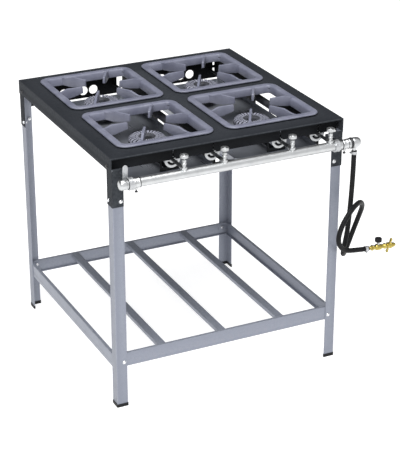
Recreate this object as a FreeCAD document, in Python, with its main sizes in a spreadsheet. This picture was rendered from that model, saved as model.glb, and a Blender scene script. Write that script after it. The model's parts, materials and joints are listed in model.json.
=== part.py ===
"""Four-burner gas cooking stand: sheet top on angle legs, lift-off grates and burner crowns,
gas manifold with four taps across the front, pull-out drip trays, a slatted shelf, and a hose
that ends in a cylinder tap.

Frame: +X is the hose side, -Y is the front, +Z is up, millimetres.  The origin is on the floor,
under the middle of the stand without its hose.  Each sub-part is one object of the document,
bound to the sheet "dims", and its Label is the name of its file.
"""
import FreeCAD, Part
import math
import os
import re
import Sketcher

doc = FreeCAD.newDocument("burner_stand")
V = FreeCAD.Vector

# ---------------------------------------------------------------- driving dimensions
DIMS = {
    # whole stand
    "width": 730, "depth": 730, "front_y": -333, "top_z": 780, "sheet": 1.5,
    # top panel, aprons and grate openings
    "apron_drop": 42, "lip_drop": 5, "apron_setback": 20, "apron_end": 11, "apron_flange": 12,
    "bay_x": 169, "front_bay_y": -135, "back_bay_y": 204, "opening": 262, "opening_radius": 24,
    "back_panel_z": 688, "notch_half": 38, "notch_z": 745, "vent_radius": 14.5,
    "vent_pitch": 33.4, "vent_z": 712,
    # corner sockets and angle legs
    "socket_side": 34.5, "socket_z": 634, "socket_notch_z": 742, "leg_side": 33, "leg_wall": 2,
    "leg_bottom": 2, "leg_top": 740, "leg_bend": 4, "cap_wall": 1.2, "cap_rise": 10,
    # shelf rails and slats
    "rail_height": 42, "rail_lip": 10, "front_rail_z": 130.5, "shelf_rail_z": 118.5,
    "slat_width": 25, "slat_rise": 12, "slat_pitch": 196, "slat_shift": -9,
    "tab_low": 133, "tab_high": 157, "tab_reach": 35,
    # M6 bolts and nuts
    "bolt_radius": 3, "bolt_hole": 3.2, "head_radius": 6, "head_rise": 4, "nut_radius": 5.5,
    "nut_thick": 5, "bolt_inset": 27, "rail_bolt_z": 145.5, "socket_low_z": 650,
    "socket_high_z": 750,
    # supports under the burners and the two drip trays
    "arm_half": 7, "arm_z": 697, "arm_past": 30, "arm_y": 44, "stay_radius": 4,
    "bar_z": 664, "bar_drop": 16, "bar_reach": 20, "bar_left": -270, "bar_right": 320,
    "guard_shift": 149,
    "guard_front": 60, "guard_gap_front": 317, "guard_gap_back": 456, "guard_back": 727,
    "tray_half": 135, "tray_front": 38,
    "tray_back": 692, "tray_z": 680.1, "tray_rise": 16.4, "tray_wall": 1, "tray_radius": 12,
    # burners: cast bowl, mixing tube and crown
    "bowl_radius": 50, "bowl_wall": 5, "bowl_z": 700, "bowl_rise": 28, "chimney_radius": 26.5,
    "chimney_wall": 3, "gas_axis_z": 735.5, "mix_axis_z": 716, "rear_mix_z": 728,
    "mix_radius": 11.5, "mix_wall": 2, "mouth_radius": 21, "mouth_y": 28,
    "mouth_long": 20, "rear_tap_shift": 124,
    "crown_radius": 54, "crown_rise": 18, "crown_hole": 13, "crown_slots": 26,
    "slot_width": 2.2, "slot_deep": 7,
    "seat_gap": 0.05,
    # air shutters on the mixing-tube mouths
    "shutter_radius": 24, "shutter_thick": 2, "shutter_y": 25.5, "shutter_bore": 5.06,
    # manifold, taps and clamps
    "manifold_y": -50, "manifold_z": 721, "manifold_radius": 13.5, "manifold_wall": 2.5,
    "manifold_left": 8, "manifold_right": 700, "injector_radius": 5, "tap_radius": 9,
    "tap_top": 763, "stem_radius": 3, "stem_bore": 3.05, "knob_radius": 12, "knob_z": 768,
    "knob_rise": 10, "band_radius": 18, "collar_radius": 15,
    # grates
    "grate_side": 300, "grate_radius": 32, "rim_width": 22, "rim_rise": 9, "skirt_outer": 258,
    "skirt_wall": 4, "skirt_drop": 15, "fin_thick": 7, "fin_tip": 60, "fin_rise": 18,
    # hose, elbow and cylinder tap
    "hose_radius": 7.5, "hose_x": 739, "elbow_radius": 15.5,
}
sheet = doc.addObject("Spreadsheet::Sheet", "dims")
for row, (alias, number) in enumerate(DIMS.items(), start=1):
    sheet.set(f"A{row}", alias)
    sheet.set(f"B{row}", str(number))
    sheet.setAlias(f"B{row}", alias)
doc.recompute()

NODES = []                                   # the sub-parts, in the order they are written


def bound(text):
    """An expression in plain aliases, such as 'width / 2', as one that names the sheet."""
    return re.sub(r"[a-z_]+", lambda word: "dims." + word.group() if word.group() in DIMS
                  else word.group(), str(text))


def value(text):
    """What an expression in plain aliases comes to."""
    return float(sheet.evalExpression(bound(text)))


def node(thing, label):
    """Name a finished object as a sub-part."""
    thing.Label = label
    NODES.append(thing)
    return thing


# ---------------------------------------------------------------- small building helpers
def place(thing, x, y, z):
    for axis, text in zip("xyz", (x, y, z)):
        thing.setExpression(f"Placement.Base.{axis}", bound(text))
    return thing


def box(name, x, y, z):
    """A block from three (low, high) pairs of expressions."""
    block = doc.addObject("Part::Box", name)
    for side, (low, high) in zip(("Length", "Width", "Height"), (x, y, z)):
        block.setExpression(side, bound(f"({high}) - ({low})"))
    return place(block, x[0], y[0], z[0])


TURNS = {"x": (V(0, 1, 0), 90), "y": (V(1, 0, 0), -90), "z": (V(0, 0, 1), 0)}


def rod(name, axis, start, radius, length):
    """A cylinder that runs from start along +X, +Y or +Z."""
    pin = doc.addObject("Part::Cylinder", name)
    pin.setExpression("Radius", bound(radius))
    pin.setExpression("Height", bound(length))
    pin.Placement = FreeCAD.Placement(V(), FreeCAD.Rotation(*TURNS[axis]))
    return place(pin, *start)


def taper(name, axis, start, radius_low, radius_high, length):
    """A cone that runs from start along +X, +Y or +Z."""
    cone = doc.addObject("Part::Cone", name)
    cone.setExpression("Radius1", bound(radius_low))
    cone.setExpression("Radius2", bound(radius_high))
    cone.setExpression("Height", bound(length))
    cone.Placement = FreeCAD.Placement(V(), FreeCAD.Rotation(*TURNS[axis]))
    return place(cone, *start)


def hexagon(name, axis, start, radius, length):
    """A hexagon nut or collar that runs from start along +X, +Y or +Z."""
    prism = doc.addObject("Part::Prism", name)
    prism.Polygon = 6
    prism.setExpression("Circumradius", bound(radius))
    prism.setExpression("Height", bound(length))
    prism.Placement = FreeCAD.Placement(V(), FreeCAD.Rotation(*TURNS[axis]))
    return place(prism, *start)


def fuse(name, pieces):
    joined = doc.addObject("Part::MultiFuse", name)
    joined.Shapes = pieces
    joined.Refine = True
    return joined


def cut(name, base, tools):
    """Base less every tool, one boolean after another."""
    for count, tool in enumerate(tools):
        less = doc.addObject("Part::Cut", f"{name}_{count}")
        less.Base = base
        less.Tool = tool
        less.Refine = True
        base = less
    return base


def gather(name, pieces):
    """Separate solids kept side by side in one sub-part."""
    group = doc.addObject("Part::Compound", name)
    group.Links = pieces
    return group


def body(name):
    return doc.addObject("PartDesign::Body", name)


def sketch(owner, role, lift="0"):
    """An empty sketch on one of a body's own planes, lifted along the plane's normal."""
    flat = owner.newObject("Sketcher::SketchObject", f"{owner.Name}_sketch")
    plane = [item for item in owner.Origin.OriginFeatures if item.Role == role][0]
    flat.AttachmentSupport = [(plane, "")]
    flat.MapMode = "FlatFace"
    flat.setExpression("AttachmentOffset.Base.z", bound(lift))
    return flat


def outline(flat, points):
    """A closed polygon in a sketch; every corner is held by two bound distances."""
    spots = [V(value(u), value(v), 0) for u, v in points]
    first = flat.GeometryCount
    for index, spot in enumerate(spots):
        flat.addGeometry(Part.LineSegment(spot, spots[(index + 1) % len(spots)]))
    for index, (u, v) in enumerate(points):
        after = first + (index + 1) % len(points)
        flat.addConstraint(Sketcher.Constraint("Coincident", first + index, 2, after, 1))
        for kind, text in (("DistanceX", u), ("DistanceY", v)):
            which = flat.addConstraint(
                Sketcher.Constraint(kind, -1, 1, first + index, 1, value(text)))
            flat.setExpression(f"Constraints[{which}]", bound(text))


def circle(flat, u, v, radius):
    """A circle in a sketch with a bound centre and radius."""
    index = flat.addGeometry(Part.Circle(V(value(u), value(v), 0), V(0, 0, 1), value(radius)))
    for kind, text in (("DistanceX", u), ("DistanceY", v)):
        which = flat.addConstraint(Sketcher.Constraint(kind, -1, 1, index, 3, value(text)))
        flat.setExpression(f"Constraints[{which}]", bound(text))
    which = flat.addConstraint(Sketcher.Constraint("Radius", index, value(radius)))
    flat.setExpression(f"Constraints[{which}]", bound(radius))


def rounded(flat, half_x, half_y, radius, u="0", v="0"):
    """A rectangle with round corners about (u, v): four lines and four tangent arcs."""
    hx, hy, r, cu, cv = (value(text) for text in (half_x, half_y, radius, u, v))
    first = flat.GeometryCount
    corners = [(1, 1, 0), (-1, 1, 90), (-1, -1, 180), (1, -1, 270)]
    for sx, sy, start in corners:
        rim = Part.Circle(V(cu + sx * (hx - r), cv + sy * (hy - r), 0), V(0, 0, 1), r)
        begin = math.radians(start)
        flat.addGeometry(Part.ArcOfCircle(rim, begin, begin + math.pi / 2))
    for index in range(4):
        one, two = first + index, first + (index + 1) % 4
        shape = [flat.Geometry[one].EndPoint, flat.Geometry[two].StartPoint]
        line = flat.addGeometry(Part.LineSegment(*shape))
        flat.addConstraint(Sketcher.Constraint("Tangent", one, 2, line, 1))
        flat.addConstraint(Sketcher.Constraint("Tangent", line, 2, two, 1))
    for index, (sx, sy, _) in enumerate(corners):
        for kind, centre, sign, half in (("DistanceX", u, sx, half_x), ("DistanceY", v, sy, half_y)):
            if index == 0 or (index == 2):
                text = f"{centre} + {sign} * ({half} - ({radius}))"
                which = flat.addConstraint(
                    Sketcher.Constraint(kind, -1, 1, first + index, 3, value(text)))
                flat.setExpression(f"Constraints[{which}]", bound(text))
    which = flat.addConstraint(Sketcher.Constraint("Radius", first, r))
    flat.setExpression(f"Constraints[{which}]", bound(radius))


def pad(owner, flat, length, down=False, both=False):
    solid = owner.newObject("PartDesign::Pad", f"{owner.Name}_pad")
    solid.Profile = flat
    solid.setExpression("Length", bound(length))
    solid.Reversed = down
    solid.Midplane = both
    flat.Visibility = False
    return solid


def pocket(owner, flat, length, up=False):
    """A pocket from a sketch; up cuts along the sketch's normal."""
    hole = owner.newObject("PartDesign::Pocket", f"{owner.Name}_pocket")
    hole.Profile = flat
    hole.setExpression("Length", bound(length))
    hole.Reversed = up
    return hole


def turned(owner, points):
    """Revolve a polygon of (radius, height) points about the body's Z axis."""
    flat = sketch(owner, "XZ_Plane")
    outline(flat, points)
    round_body = owner.newObject("PartDesign::Revolution", f"{owner.Name}_turn")
    round_body.Profile = flat
    round_body.ReferenceAxis = (flat, ["V_Axis"])
    round_body.Angle = 360
    return round_body


def polar(owner, feature, count):
    """Repeat one feature round the body's Z axis."""
    ring = owner.newObject("PartDesign::PolarPattern", f"{owner.Name}_ring")
    ring.Originals = [feature]
    axis = [item for item in owner.Origin.OriginFeatures if item.Role == "Z_Axis"][0]
    ring.Axis = (axis, [""])
    ring.Angle = 360
    ring.setExpression("Occurrences", bound(count))
    owner.Tip = ring
    return ring


def bent_path(points):
    """Straight runs joined by tangent arcs, each as large as its two runs allow."""
    edges, radii, last = [], [], points[0]
    for before, at, after in zip(points, points[1:], points[2:]):
        back, ahead = before - at, after - at
        turn = math.pi - back.getAngle(ahead)
        reach = 0.45 * min(back.Length, ahead.Length)
        back.normalize()
        ahead.normalize()
        middle = back + ahead
        middle.normalize()
        radius = reach / math.tan(turn / 2)
        start, end = at + back * reach, at + ahead * reach
        crest = at + middle * (math.hypot(reach, radius) - radius)
        edges += [Part.LineSegment(last, start).toShape(), Part.Arc(start, crest, end).toShape()]
        radii.append(radius)
        last = end
    edges.append(Part.LineSegment(last, points[-1]).toShape())
    return Part.Wire(edges), radii


def tube(path, radius):
    """A round bar along a path."""
    start = path.Edges[0].valueAt(path.Edges[0].FirstParameter)
    ahead = path.Edges[0].tangentAt(path.Edges[0].FirstParameter)
    ring = Part.Wire([Part.Circle(start, ahead, radius).toShape()])
    return path.makePipeShell([ring], True, False)


def shaped(name, shape):
    """A feature whose shape is worked out by Part's own functions."""
    feature = doc.addObject("Part::Feature", name)
    feature.Shape = shape
    return feature


# ---------------------------------------------------------------- places used more than once
LEFT, RIGHT = "-width / 2", "width / 2"
FRONT, BACK = "front_y", "front_y + depth"
SIDES = {"left": -1, "right": 1}
ENDS = {"front": -1, "rear": 1}
BAYS = [(end, side) for end in ENDS for side in SIDES]


def edge_x(side, inset):
    """X of a plane that lies inset from the left or right face."""
    return f"({SIDES[side]}) * (width / 2 - ({inset}))"


def edge_y(end, inset):
    """Y of a plane that lies inset from the front or back face."""
    return f"{FRONT} + ({inset})" if end == "front" else f"{BACK} - ({inset})"


def span_x(side, near, far):
    """(low, high) of a slab between two insets from the left or right face."""
    pair = (edge_x(side, near), edge_x(side, far))
    return pair if side == "left" else pair[::-1]


def span_y(end, near, far):
    """(low, high) of a slab between two insets from the front or back face."""
    pair = (edge_y(end, near), edge_y(end, far))
    return pair if end == "front" else pair[::-1]


def bay_centre(end, side):
    """X and Y of one burner's centre."""
    return f"{SIDES[side]} * bay_x", "front_bay_y" if end == "front" else "back_bay_y"


def tap_x(end, side):
    """X of the tap that feeds one burner: in line with a front burner, beside a rear one."""
    shift = "" if end == "front" else " + rear_tap_shift"
    return bay_centre(end, side)[0] + shift


# ---------------------------------------------------------------- bolt holes, cut from the frame
def socket_bolt_spots(end, side):
    """(axis, y or x, z) of the bolts at one corner: two in the side face, one in the end face."""
    return [("x", edge_y(end, "bolt_inset"), "socket_low_z"),
            ("x", edge_y(end, "bolt_inset"), "socket_high_z"),
            ("y", edge_x(side, "bolt_inset"), "socket_low_z")]


def through_hole(name, axis, end, side, across, height):
    """A drill through one side face or one end face of a corner."""
    if axis == "x":
        return rod(name, "x", (span_x(side, "-10", "20")[0], across, height), "bolt_hole", "30")
    return rod(name, "y", (across, span_y(end, "-10", "20")[0], height), "bolt_hole", "30")


drills = []
for end, side in BAYS:
    for axis, across, height in socket_bolt_spots(end, side):
        drills.append(through_hole("socket_drill", axis, end, side, across, height))
    drills.append(through_hole("rail_drill", "y", end, side, edge_x(side, "bolt_inset"),
                               "rail_bolt_z"))
bolt_holes = fuse("bolt_holes", drills)
bolt_holes.Refine = False

# ---------------------------------------------------------------- top panel
panel = body("top_panel_sheet")
plate = sketch(panel, "XY_Plane", "top_z - sheet")
outline(plate, [(LEFT, FRONT), (RIGHT, FRONT), (RIGHT, BACK), (LEFT, BACK)])
pad(panel, plate, "sheet")
for end, side in BAYS:
    centre_x, centre_y = bay_centre(end, side)
    window = sketch(panel, "XY_Plane", "top_z - sheet")
    rounded(window, "opening / 2", "opening / 2", "opening_radius", centre_x, centre_y)
    pocket(panel, window, "sheet", up=True)
under = ("top_z - apron_drop", "top_z - sheet / 2")
flanges = [box("side_apron", span_x(side, "0", "sheet"), (FRONT, BACK), under)
           for side in SIDES]
flanges.append(box("front_lip", (LEFT, RIGHT), span_y("front", "0", "sheet"),
                   ("top_z - lip_drop", "top_z - sheet / 2")))
node(cut("top_panel_cut", fuse("top_panel_folded", [panel] + flanges), [bolt_holes]), "top_panel")

# ---------------------------------------------------------------- front apron, set back
apron_x = (edge_x("left", "apron_end"), edge_x("right", "apron_end"))
apron_z = ("top_z - apron_drop", "top_z - sheet")
apron = fuse("front_apron_folded", [
    box("apron_face", apron_x, span_y("front", "apron_setback", "apron_setback + sheet"), apron_z),
    box("apron_flange_top", apron_x,
        span_y("front", "apron_setback", "apron_setback + apron_flange"),
        ("top_z - 2 * sheet", "top_z - sheet"))])
slots = []
for end, side in BAYS:
    centre = tap_x(end, side)
    face = span_y("front", "apron_setback - 1", "apron_setback + sheet + 1")
    slots.append(box("injector_slot", (f"{centre} - 7", f"{centre} + 7"), face,
                     ("top_z - apron_drop - 1", "gas_axis_z + 6.5")))
    slots.append(box("slot_slit", (f"{centre} - 1.5", f"{centre} + 1.5"), face,
                     ("gas_axis_z + 10", "top_z - 10")))
node(cut("front_apron_cut", apron, [fuse("apron_slots", slots)]), "front_apron")

# ---------------------------------------------------------------- back panel with its vents
back_face = span_y("rear", "0", "sheet")
back_x = (edge_x("left", "socket_side + 2.5"), edge_x("right", "socket_side + 2.5"))
back = fuse("back_panel_folded", [
    box("back_face", back_x, back_face, ("back_panel_z", "top_z - sheet")),
    box("back_flange", back_x, span_y("rear", "0", "apron_flange"),
        ("top_z - 2 * sheet", "top_z - sheet"))])
vents = [box("back_notch", ("-notch_half", "notch_half"),
             span_y("rear", "-1", "sheet + 1"), ("back_panel_z - 1", "notch_z"))]
for side in SIDES:
    for step in (-1.5, -0.5, 0.5, 1.5):
        vents.append(rod("vent", "y", (f"{SIDES[side]} * bay_x + {step} * vent_pitch",
                                       span_y("rear", "-1", "sheet + 1")[0], "vent_z"),
                         "vent_radius", "sheet + 2"))
    for low in (706, 731):
        vents.append(box("cable_slot", (f"{SIDES[side]} * 306 - 3.5", f"{SIDES[side]} * 306 + 3.5"),
                         span_y("rear", "-1", "sheet + 1"), (low, f"{low} + 16")))
node(cut("back_panel_cut", back, [fuse("back_vents", vents)]), "back_panel")

# ---------------------------------------------------------------- corner sockets
for end, side in BAYS:
    skin = ("sheet", "2 * sheet")
    reach = "sheet + socket_side"
    high, near = (("socket_notch_z", "sheet") if end == "front" else ("top_z - sheet", "0"))
    socket = fuse(f"{end}_{side}_socket_folded", [
        box("socket_side_face", span_x(side, *skin), span_y(end, near, reach),
            ("socket_z", "top_z - sheet")),
        box("socket_end_face", span_x(side, "sheet", reach), span_y(end, "0", "sheet"),
            ("socket_z", high))])
    node(cut(f"{end}_{side}_socket_cut", socket, [bolt_holes]), f"{end}_{side}_socket")


# ---------------------------------------------------------------- angle legs and their caps
def angle(name, end, side, near_x, near_y, reach, wall, low, high):
    """A vertical angle whose outer faces lie inset from one corner of the stand."""
    return fuse(name, [
        box("angle_side", span_x(side, near_x, f"{near_x} + {wall}"),
            span_y(end, near_y, f"{near_y} + {reach}"), (low, high)),
        box("angle_end", span_x(side, near_x, f"{near_x} + {reach}"),
            span_y(end, near_y, f"{near_y} + {wall}"), (low, high))])


def bend_edge(name, bar, end, side, near_x, near_y, radius):
    """Round the outer upright edge of an angle."""
    doc.recompute()
    x, y = value(edge_x(side, near_x)), value(edge_y(end, near_y))
    upright = [index for index, edge in enumerate(bar.Shape.Edges, start=1)
               if all(abs(point.X - x) < 0.01 and abs(point.Y - y) < 0.01
                      for point in edge.Vertexes)]
    bend = doc.addObject("Part::Fillet", name)
    bend.Base = bar
    bend.Edges = [(index, value(radius), value(radius)) for index in upright]
    return bend


caps = []
for end, side in BAYS:
    near_x, near_y = "2 * sheet", "sheet"
    plain = angle(f"{end}_{side}_leg_bar", end, side, near_x, near_y, "leg_side", "leg_wall",
                  "leg_bottom", "leg_top")
    bar = bend_edge(f"{end}_{side}_leg_bent", plain, end, side, near_x, near_y, "leg_bend - leg_wall")
    leg = node(cut(f"{end}_{side}_leg_cut", bar, [bolt_holes]), f"{end}_{side}_leg")
    shoe = angle(f"{end}_{side}_shoe", end, side, f"{near_x} - cap_wall", f"{near_y} - cap_wall",
                 "leg_side + 2 * cap_wall", "leg_wall + 2 * cap_wall", "0", "cap_rise")
    round_shoe = bend_edge(f"{end}_{side}_shoe_bent", shoe, end, side, f"{near_x} - cap_wall",
                           f"{near_y} - cap_wall", "leg_bend - leg_wall + cap_wall")
    caps.append(cut(f"{end}_{side}_cap", round_shoe, [bar]))
node(gather("leg_cap_group", caps), "leg_caps")


# ---------------------------------------------------------------- shelf rails, slats
def channel(name, along, span, end_or_side, near, low):
    """A rail with two lips that point into the stand."""
    high = f"{low} + rail_height"
    slab = span_y if along == "x" else span_x
    pieces = [("web", near, f"{near} + sheet", low, high),
              ("low_lip", near, f"{near} + rail_lip", low, f"{low} + sheet"),
              ("high_lip", near, f"{near} + rail_lip", f"{high} - sheet", high)]
    parts = []
    for word, one, two, bottom, top in pieces:
        across = slab(end_or_side, one, two)
        size = (span, across) if along == "x" else (across, span)
        parts.append(box(f"{name}_{word}", *size, (bottom, top)))
    return parts


inner_y = "sheet + leg_wall"                 # inner face of a leg's end flange, from the end
inner_x = "2 * sheet + leg_wall"             # inner face of a leg's side flange, from the side
for end, label in (("front", "front_rail"), ("rear", "rear_rail")):
    low = "front_rail_z" if end == "front" else "shelf_rail_z"
    pieces = channel(label, "x", (edge_x("left", inner_x), edge_x("right", inner_x)), end,
                     inner_y, low)
    node(cut(label, fuse(f"{label}_bar", pieces), [bolt_holes]), label)
for side in SIDES:
    label = f"{side}_rail"
    clear = f"{inner_y} + rail_lip + 0.5"
    pieces = channel(label, "y", (edge_y("front", clear), edge_y("rear", clear)), side,
                     inner_x, "shelf_rail_z")
    for end in ENDS:
        web = f"{inner_y} + sheet"
        pieces.append(box("tab_neck", span_x(side, inner_x, f"{inner_x} + sheet"),
                          span_y(end, web, f"{clear} + 1"), ("tab_low", "tab_high")))
        pieces.append(box("tab", span_x(side, inner_x, f"{inner_x} + tab_reach"),
                          span_y(end, web, f"{web} + sheet"), ("tab_low", "tab_high")))
    node(cut(label, fuse(f"{label}_bar", pieces), [bolt_holes]), label)

slat_top = "shelf_rail_z + rail_height"
slat_y = (edge_y("front", f"{inner_y} + sheet"), edge_y("rear", f"{inner_y} + rail_lip"))
for step, word in ((-1, "left"), (0, "middle"), (1, "right")):
    middle = f"slat_shift + {step} * slat_pitch"
    half = "slat_width / 2"
    outer = box("slat_outer", (f"{middle} - {half}", f"{middle} + {half}"), slat_y,
                (f"{slat_top} - slat_rise", slat_top))
    inside = box("slat_inner", (f"{middle} - {half} + sheet", f"{middle} + {half} - sheet"),
                 slat_y, (f"{slat_top} - slat_rise - 1", f"{slat_top} - sheet"))
    node(cut(f"{word}_slat", outer, [inside]), f"{word}_shelf_slat")


# ---------------------------------------------------------------- bolts and nuts
def bolt(name, axis, end, side, across, height, outer, grip):
    """A round-headed bolt through a stack of sheets, with its nut inside; two solids.

    outer is the inset of the face that the head sits on, grip the stack's thickness."""
    slab = span_x if axis == "x" else span_y
    where = side if axis == "x" else end

    def spot(low):
        return (low, across, height) if axis == "x" else (across, low, height)

    def length(pair):
        return f"({pair[1]}) - ({pair[0]})"

    head = slab(where, f"{outer} - head_rise", outer)
    flush = where in ("left", "front")
    sizes = ("head_radius * 0.55", "head_radius") if flush else ("head_radius", "head_radius * 0.55")
    shank = slab(where, f"{outer} - 1", f"{outer} + {grip} + nut_thick + 2")
    nut = slab(where, f"{outer} + {grip}", f"{outer} + {grip} + nut_thick")
    screw = fuse(name, [taper("head", axis, spot(head[0]), *sizes, "head_rise"),
                        rod("shank", axis, spot(shank[0]), "bolt_radius", length(shank))])
    block = hexagon("nut_block", axis, spot(nut[0]), "nut_radius", length(nut))
    bore = rod("nut_bore", axis, spot(shank[0]), "bolt_radius", length(shank))
    return [screw, cut(f"{name}_nut", block, [bore])]


rail_bolts, socket_bolts = [], []
for end, side in BAYS:
    rail_bolts += bolt("rail_bolt", "y", end, side, edge_x(side, "bolt_inset"), "rail_bolt_z",
                       "sheet", "leg_wall + 2 * sheet")
    for axis, across, height in socket_bolt_spots(end, side):
        if axis == "y":
            outer, grip = "0", "sheet + leg_wall"
        elif height == "socket_high_z":
            outer, grip = "0", "2 * sheet"
        else:
            outer, grip = "sheet", "sheet + leg_wall"
        socket_bolts += bolt("socket_bolt", axis, end, side, across, height, outer, grip)
node(gather("rail_bolt_group", rail_bolts), "rail_bolts")
node(gather("socket_bolt_group", socket_bolts), "socket_bolts")

# ---------------------------------------------------------------- guard plates beside the bays
# One upright plate hangs from the top on the right of each bay, in a front and a rear piece; a
# fold along its top edge is welded to the top's underside.
for side in SIDES:
    face_x = f"{SIDES[side]} * bay_x + guard_shift"
    pieces = []
    for word, low, high in (("front", "guard_front", "guard_gap_front"),
                            ("rear", "guard_gap_back", "guard_back")):
        long = (f"{FRONT} + {low}", f"{FRONT} + {high}")
        plate = fuse(f"{side}_{word}_guard_bent", [
            box("guard_face", (face_x, f"{face_x} + sheet"), long,
                ("bar_z + bar_drop", "top_z - sheet")),
            box("guard_fold", (face_x, f"{face_x} + 10"), long,
                ("top_z - 2 * sheet", "top_z - sheet"))])
        if word == "rear":
            eyes = [rod("guard_eye", "x", (f"{face_x} - 1", f"{FRONT} + guard_back - 11", height),
                        "2.5", "sheet + 2") for height in ("708", "731")]
            eyes.append(box("guard_relief", (f"{face_x} - 1", f"{face_x} + 11"),
                            span_y("rear", "0", "apron_flange + 0.5"),
                            ("top_z - 2 * sheet", "top_z")))
            plate = cut(f"{side}_rear_guard", plate, eyes)
        pieces.append(plate)
    node(gather(f"{side}_guard_pair", pieces), f"{side}_guard_plate")

# ---------------------------------------------------------------- bars that carry the trays
bars = []
for end in ENDS:
    near = "guard_front" if end == "front" else "depth - tray_back - 2"
    across = ("bar_left", "bar_right")
    top = "bar_z + bar_drop"
    bars.append(fuse(f"{end}_tray_bar", [
        box("bar_shelf", across, span_y(end, near, f"{near} + bar_reach"),
            (f"{top} - sheet", top)),
        box("bar_face", across, span_y(end, near, f"{near} + sheet"), ("bar_z", top))]))
node(gather("tray_bar_group", bars), "tray_bars")

# ---------------------------------------------------------------- drip trays
for side in SIDES:
    tray = body(f"{side}_drip_tray_pan")
    middle_y = "(tray_front + tray_back) / 2"
    half_y = "(tray_back - tray_front) / 2"
    centre = (f"{SIDES[side]} * bay_x", f"{FRONT} + {middle_y}")
    floor_plan = sketch(tray, "XY_Plane", "tray_z")
    rounded(floor_plan, "tray_half", half_y, "tray_radius", *centre)
    pad(tray, floor_plan, "tray_rise")
    hollow = sketch(tray, "XY_Plane", "tray_z + tray_wall")
    rounded(hollow, "tray_half - tray_wall", f"{half_y} - tray_wall",
            "tray_radius - tray_wall", *centre)
    pocket(tray, hollow, "tray_rise", up=True)
    node(tray, f"{side}_drip_tray")

# ---------------------------------------------------------------- burner castings and supports
# A front burner rests on an arm under its mixing tube; the arm's two ears hang from the top.  A rear burner
# hangs on its long mixing tube, and a stay runs from the tube's bend to the back panel.
bowl_top = "bowl_z + bowl_rise - seat_gap"
MOUTH, MIX = value("gas_axis_z"), value("mix_axis_z")
supports = []
for end, side in BAYS:
    centre_x, centre_y = (value(text) for text in bay_centre(end, side))
    feed_x = value(tap_x(end, side))
    mouth_y = value(f"{FRONT} + mouth_y")
    radius, wall = value("bowl_radius"), value("bowl_wall")
    bore, mix = value("mix_radius - mix_wall"), value("mix_radius")
    start = V(feed_x, mouth_y, MOUTH)
    route = [start, V(feed_x, mouth_y + 46, MOUTH), V(feed_x, mouth_y + 106, MIX)]
    if end == "front":
        route.append(V(feed_x, centre_y - radius + wall / 2, MIX))
    else:
        high = value("rear_mix_z")
        route[2].z = high
        route += [V(feed_x, centre_y - 60, high), V(feed_x - 6, centre_y, MIX + 3),
                  V(centre_x + radius - wall / 2, centre_y, MIX)]
    pipe_path = bent_path(route)[0]
    low, high = value("bowl_z"), value(bowl_top)
    spot = V(centre_x, centre_y, low)
    cup = Part.makeCylinder(radius, high - low, spot)
    chimney = value("chimney_radius")
    room = Part.makeCylinder(radius - wall, high - low, spot + V(0, 0, 3)).cut(
        Part.makeCylinder(chimney, high - low, spot))
    shaft = Part.makeCylinder(chimney - value("chimney_wall"), 100, spot - V(0, 0, 9))
    cup = cup.cut(room).cut(shaft)
    long, flare = value("mouth_long"), value("mouth_radius")
    bell = Part.makeCone(flare, mix, long, start, V(0, 1, 0))
    throat = Part.makeCone(flare - 2, bore, long, start, V(0, 1, 0))
    solid_tube = tube(pipe_path, mix)
    outer = solid_tube.fuse(bell).cut(cup.fuse(room))
    casting = cup.fuse(outer).cut(tube(pipe_path, bore)).cut(throat).removeSplitter()
    node(shaped(f"{end}_{side}_burner_casting", casting.Solids[0]), f"{end}_{side}_burner")
    if end == "front":
        upright = span_y("front", "arm_y", "arm_y + 2")
        supports.append(fuse(f"{side}_burner_arm", [
            box("arm_strip", (f"{feed_x} - arm_half", f"{feed_x} + arm_half"),
                (upright[0], "front_bay_y + arm_past"), ("arm_z", "bowl_z")),
            box("arm_left_ear", (f"{feed_x} - 30", f"{feed_x} - 24"), upright,
                ("arm_z", "top_z - sheet")),
            box("arm_right_ear", (f"{feed_x} + 24", f"{feed_x} + 30"), upright,
                ("arm_z", "top_z - sheet")),
            box("arm_foot", (f"{feed_x} - 30", f"{feed_x} + 30"), upright,
                ("arm_z", "bowl_z + 8"))]))
    else:
        hold = V(feed_x - 4, centre_y - 30, MIX + 4)
        stay = Part.makeCylinder(value("stay_radius"), value(f"{BACK} - sheet") - hold.y, hold,
                                 V(0, 1, 0)).cut(solid_tube)
        supports.append(shaped(f"{side}_burner_stay", max(stay.Solids, key=lambda s: s.Volume)))
node(gather("burner_support_group", supports), "burner_supports")

# ---------------------------------------------------------------- burner crowns
for end, side in BAYS:
    crown = body(f"{end}_{side}_crown_ring")
    bottom, spigot = "-6", "bowl_radius - bowl_wall - 0.1"
    turned(crown, [("crown_hole", "0"), ("bowl_radius - bowl_wall - 3", "0"),
                   ("bowl_radius - bowl_wall - 3", bottom), (spigot, bottom), (spigot, "0"),
                   ("crown_radius - 1", "0"), ("crown_radius", "2"),
                   ("crown_radius", "crown_rise - 5"), ("crown_radius - 4", "crown_rise - 1"),
                   ("crown_radius - 9", "crown_rise"), ("crown_hole + 4", "crown_rise"),
                   ("crown_hole", "crown_rise - 4")])
    cutter = sketch(crown, "XY_Plane", "crown_rise - slot_deep")
    outline(cutter, [("crown_radius - 19", "-slot_width / 2"), ("crown_radius + 2", "-slot_width / 2"),
                     ("crown_radius + 2", "slot_width / 2"), ("crown_radius - 19", "slot_width / 2")])
    first_slot = pocket(crown, cutter, "slot_deep + 1", up=True)
    polar(crown, first_slot, "crown_slots")
    place(crown, *bay_centre(end, side), "bowl_z + bowl_rise")
    node(crown, f"{end}_{side}_crown")

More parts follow.
